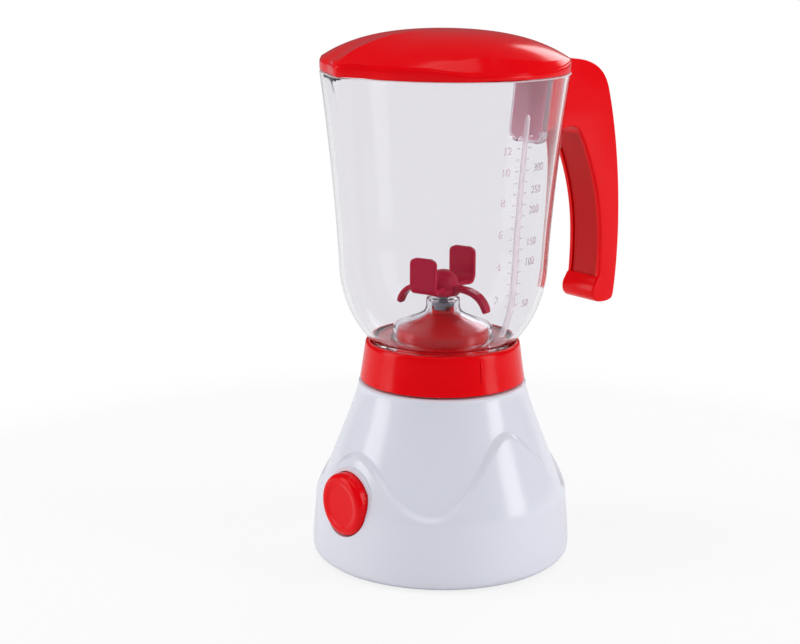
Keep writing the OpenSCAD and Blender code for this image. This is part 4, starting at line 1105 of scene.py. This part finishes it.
class BLENDERTOY_OT_stage(PieceOperator, bpy.types.Operator):
    """Builds the pale floor, the soft lamps, the white surroundings and the camera"""

    bl_idname = "blender_toy.stage"
    bl_label = "Stage"

    def execute(self, context):
        self.floor()
        self.world()
        self.lamps()
        self.camera()
        return {"FINISHED"}

    def floor(self):
        deselect()
        bpy.ops.mesh.primitive_circle_add(vertices=96, radius=4.0, fill_type="NGON", location=(0, 0, -0.0003))
        floor = bpy.context.object
        floor.name = "floor"
        material, tree = new_material("White paper sweep")
        place = add_node(tree, "ShaderNodeTexCoord").outputs["Object"]
        away = add_node(tree, "ShaderNodeVectorMath", {0: place}, operation="LENGTH")
        far = add_node(
            tree, "ShaderNodeMapRange", {"Value": away.outputs["Value"], "From Min": 0.09, "From Max": 0.3},
            interpolation_type="SMOOTHSTEP",
        )
        paper = add_node(tree, "ShaderNodeBsdfDiffuse", {"Color": (0.93, 0.93, 0.93, 1)}).outputs[0]
        glow = add_node(tree, "ShaderNodeEmission", {"Color": (1, 1, 1, 1), "Strength": 1.0}).outputs[0]
        rays = add_node(tree, "ShaderNodeLightPath").outputs
        seen = combine(tree, "MAXIMUM", rays["Is Camera Ray"], rays["Is Transmission Ray"])
        lifted = combine(tree, "MAXIMUM", far.outputs["Result"], 0.8)
        output(tree, blend(tree, combine(tree, "MULTIPLY", seen, lifted), paper, glow))
        floor.data.materials.append(material)

    def world(self):
        world = bpy.data.worlds.new("White studio")
        bpy.context.scene.world = world
        world.use_nodes = True
        tree = world.node_tree
        tree.nodes.clear()
        rays = add_node(tree, "ShaderNodeLightPath").outputs
        # White for the camera, straight or through the clear jug, and for nothing that a surface scattered
        through = combine(tree, "GREATER_THAN", rays["Transmission Depth"], 0.5)
        seen = combine(tree, "MAXIMUM", rays["Is Camera Ray"], through)
        direct = combine(tree, "LESS_THAN", rays["Diffuse Depth"], 0.5)
        seen = combine(tree, "MULTIPLY", seen, direct)
        plain, dim, white = (
            add_node(tree, "ShaderNodeBackground", {"Color": tint, "Strength": strength}).outputs[0]
            for tint, strength in (((0.92, 0.94, 1.0, 1), 0.47), ((0.92, 0.94, 1.0, 1), 0.12), ((1, 1, 1, 1), 1.0))
        )
        # Polished faces see a dimmer room than the one that lights the toy
        room = blend(tree, rays["Is Glossy Ray"], plain, dim)
        output(tree, blend(tree, seen, room, white), "World")

    def lamps(self):
        """Two tall soft boxes, one at each side, one overhead and one behind: place, size and power."""
        plan = [
            ("left_box", (-0.62, -0.92, 0.45), (0.5, 0.9), 4.6),
            ("right_box", (0.95, 0.58, 0.45), (0.4, 0.9), 4.6),
            ("top_box", (0.0, -0.1, 1.2), (0.8, 0.8), 3.2),
            ("back_box", (-0.45, 1.15, 0.6), (0.7, 0.45), 2.6),
        ]
        for name, place, size, power in plan:
            lamp = bpy.data.lights.new(name, "AREA")
            lamp.shape = "RECTANGLE"
            lamp.size, lamp.size_y = size
            lamp.energy = power
            obj = add_object(name, lamp)
            obj.location = place
            middle = Vector((0, 0, 0.1))
            obj.rotation_euler = (middle - Vector(place)).to_track_quat("-Z", "Y").to_euler()

    def camera(self):
        """The photograph's camera: 49.5 degrees round from the front, 13.4 degrees down."""
        azimuth, elevation, roll = map(math.radians, (49.5, 13.4, 0.6))
        distance, aim = 0.6802, 0.0902
        data = bpy.data.cameras.new("photo_camera")
        data.lens = 80.55
        data.sensor_width = 36.0
        data.shift_x = -0.0535
        data.clip_end = 20
        obj = add_object("photo_camera", data)
        level = math.cos(elevation)
        way = Vector((math.sin(azimuth) * level, -math.cos(azimuth) * level, math.sin(elevation)))
        obj.location = Vector((0, 0, aim)) + way * distance
        # The photograph leans by the roll
        obj.rotation_euler = ((-way).to_track_quat("-Z", "Y") @ Quaternion((0, 0, 1), roll)).to_euler()
        bpy.context.scene.camera = obj


class BLENDERTOY_PT_panel(bpy.types.Panel):
    """Lists the toy's pieces in the sidebar"""

    bl_label = "Toy blender"
    bl_idname = "BLENDERTOY_PT_panel"
    bl_space_type = "VIEW_3D"
    bl_region_type = "UI"
    bl_category = "Toy blender"

    def draw(self, context):
        for group in (context.scene.blender_colours, context.scene.blender_sizes):
            for key in group.__annotations__:
                self.layout.prop(group, key)
        for operator in OPERATORS:
            self.layout.operator(operator.bl_idname)


OPERATORS = (
    BLENDERTOY_OT_inner,
    BLENDERTOY_OT_base,
    BLENDERTOY_OT_collar,
    BLENDERTOY_OT_button,
    BLENDERTOY_OT_jug,
    BLENDERTOY_OT_lid,
    BLENDERTOY_OT_handle,
    BLENDERTOY_OT_stirrer,
    BLENDERTOY_OT_stage,
)
CLASSES = (BlenderColours, BlenderSizes, *OPERATORS, BLENDERTOY_PT_panel)


def register():
    for each in CLASSES:
        bpy.utils.register_class(each)
    bpy.types.Scene.blender_colours = bpy.props.PointerProperty(type=BlenderColours)
    bpy.types.Scene.blender_sizes = bpy.props.PointerProperty(type=BlenderSizes)


def unregister():
    del bpy.types.Scene.blender_colours
    del bpy.types.Scene.blender_sizes
    for each in reversed(CLASSES):
        bpy.utils.unregister_class(each)


def main():
    register()
    bpy.context.scene.view_settings.view_transform = "Standard"
    MATERIALS.update(make_materials())
    bpy.ops.blender_toy.inner()
    bpy.ops.blender_toy.base()
    bpy.ops.blender_toy.collar()
    bpy.ops.blender_toy.button()
    bpy.ops.blender_toy.jug()
    bpy.ops.blender_toy.lid()
    bpy.ops.blender_toy.handle()
    bpy.ops.blender_toy.stirrer()
    bpy.ops.blender_toy.stage()
    deselect()


if __name__ == "__main__":
    main()
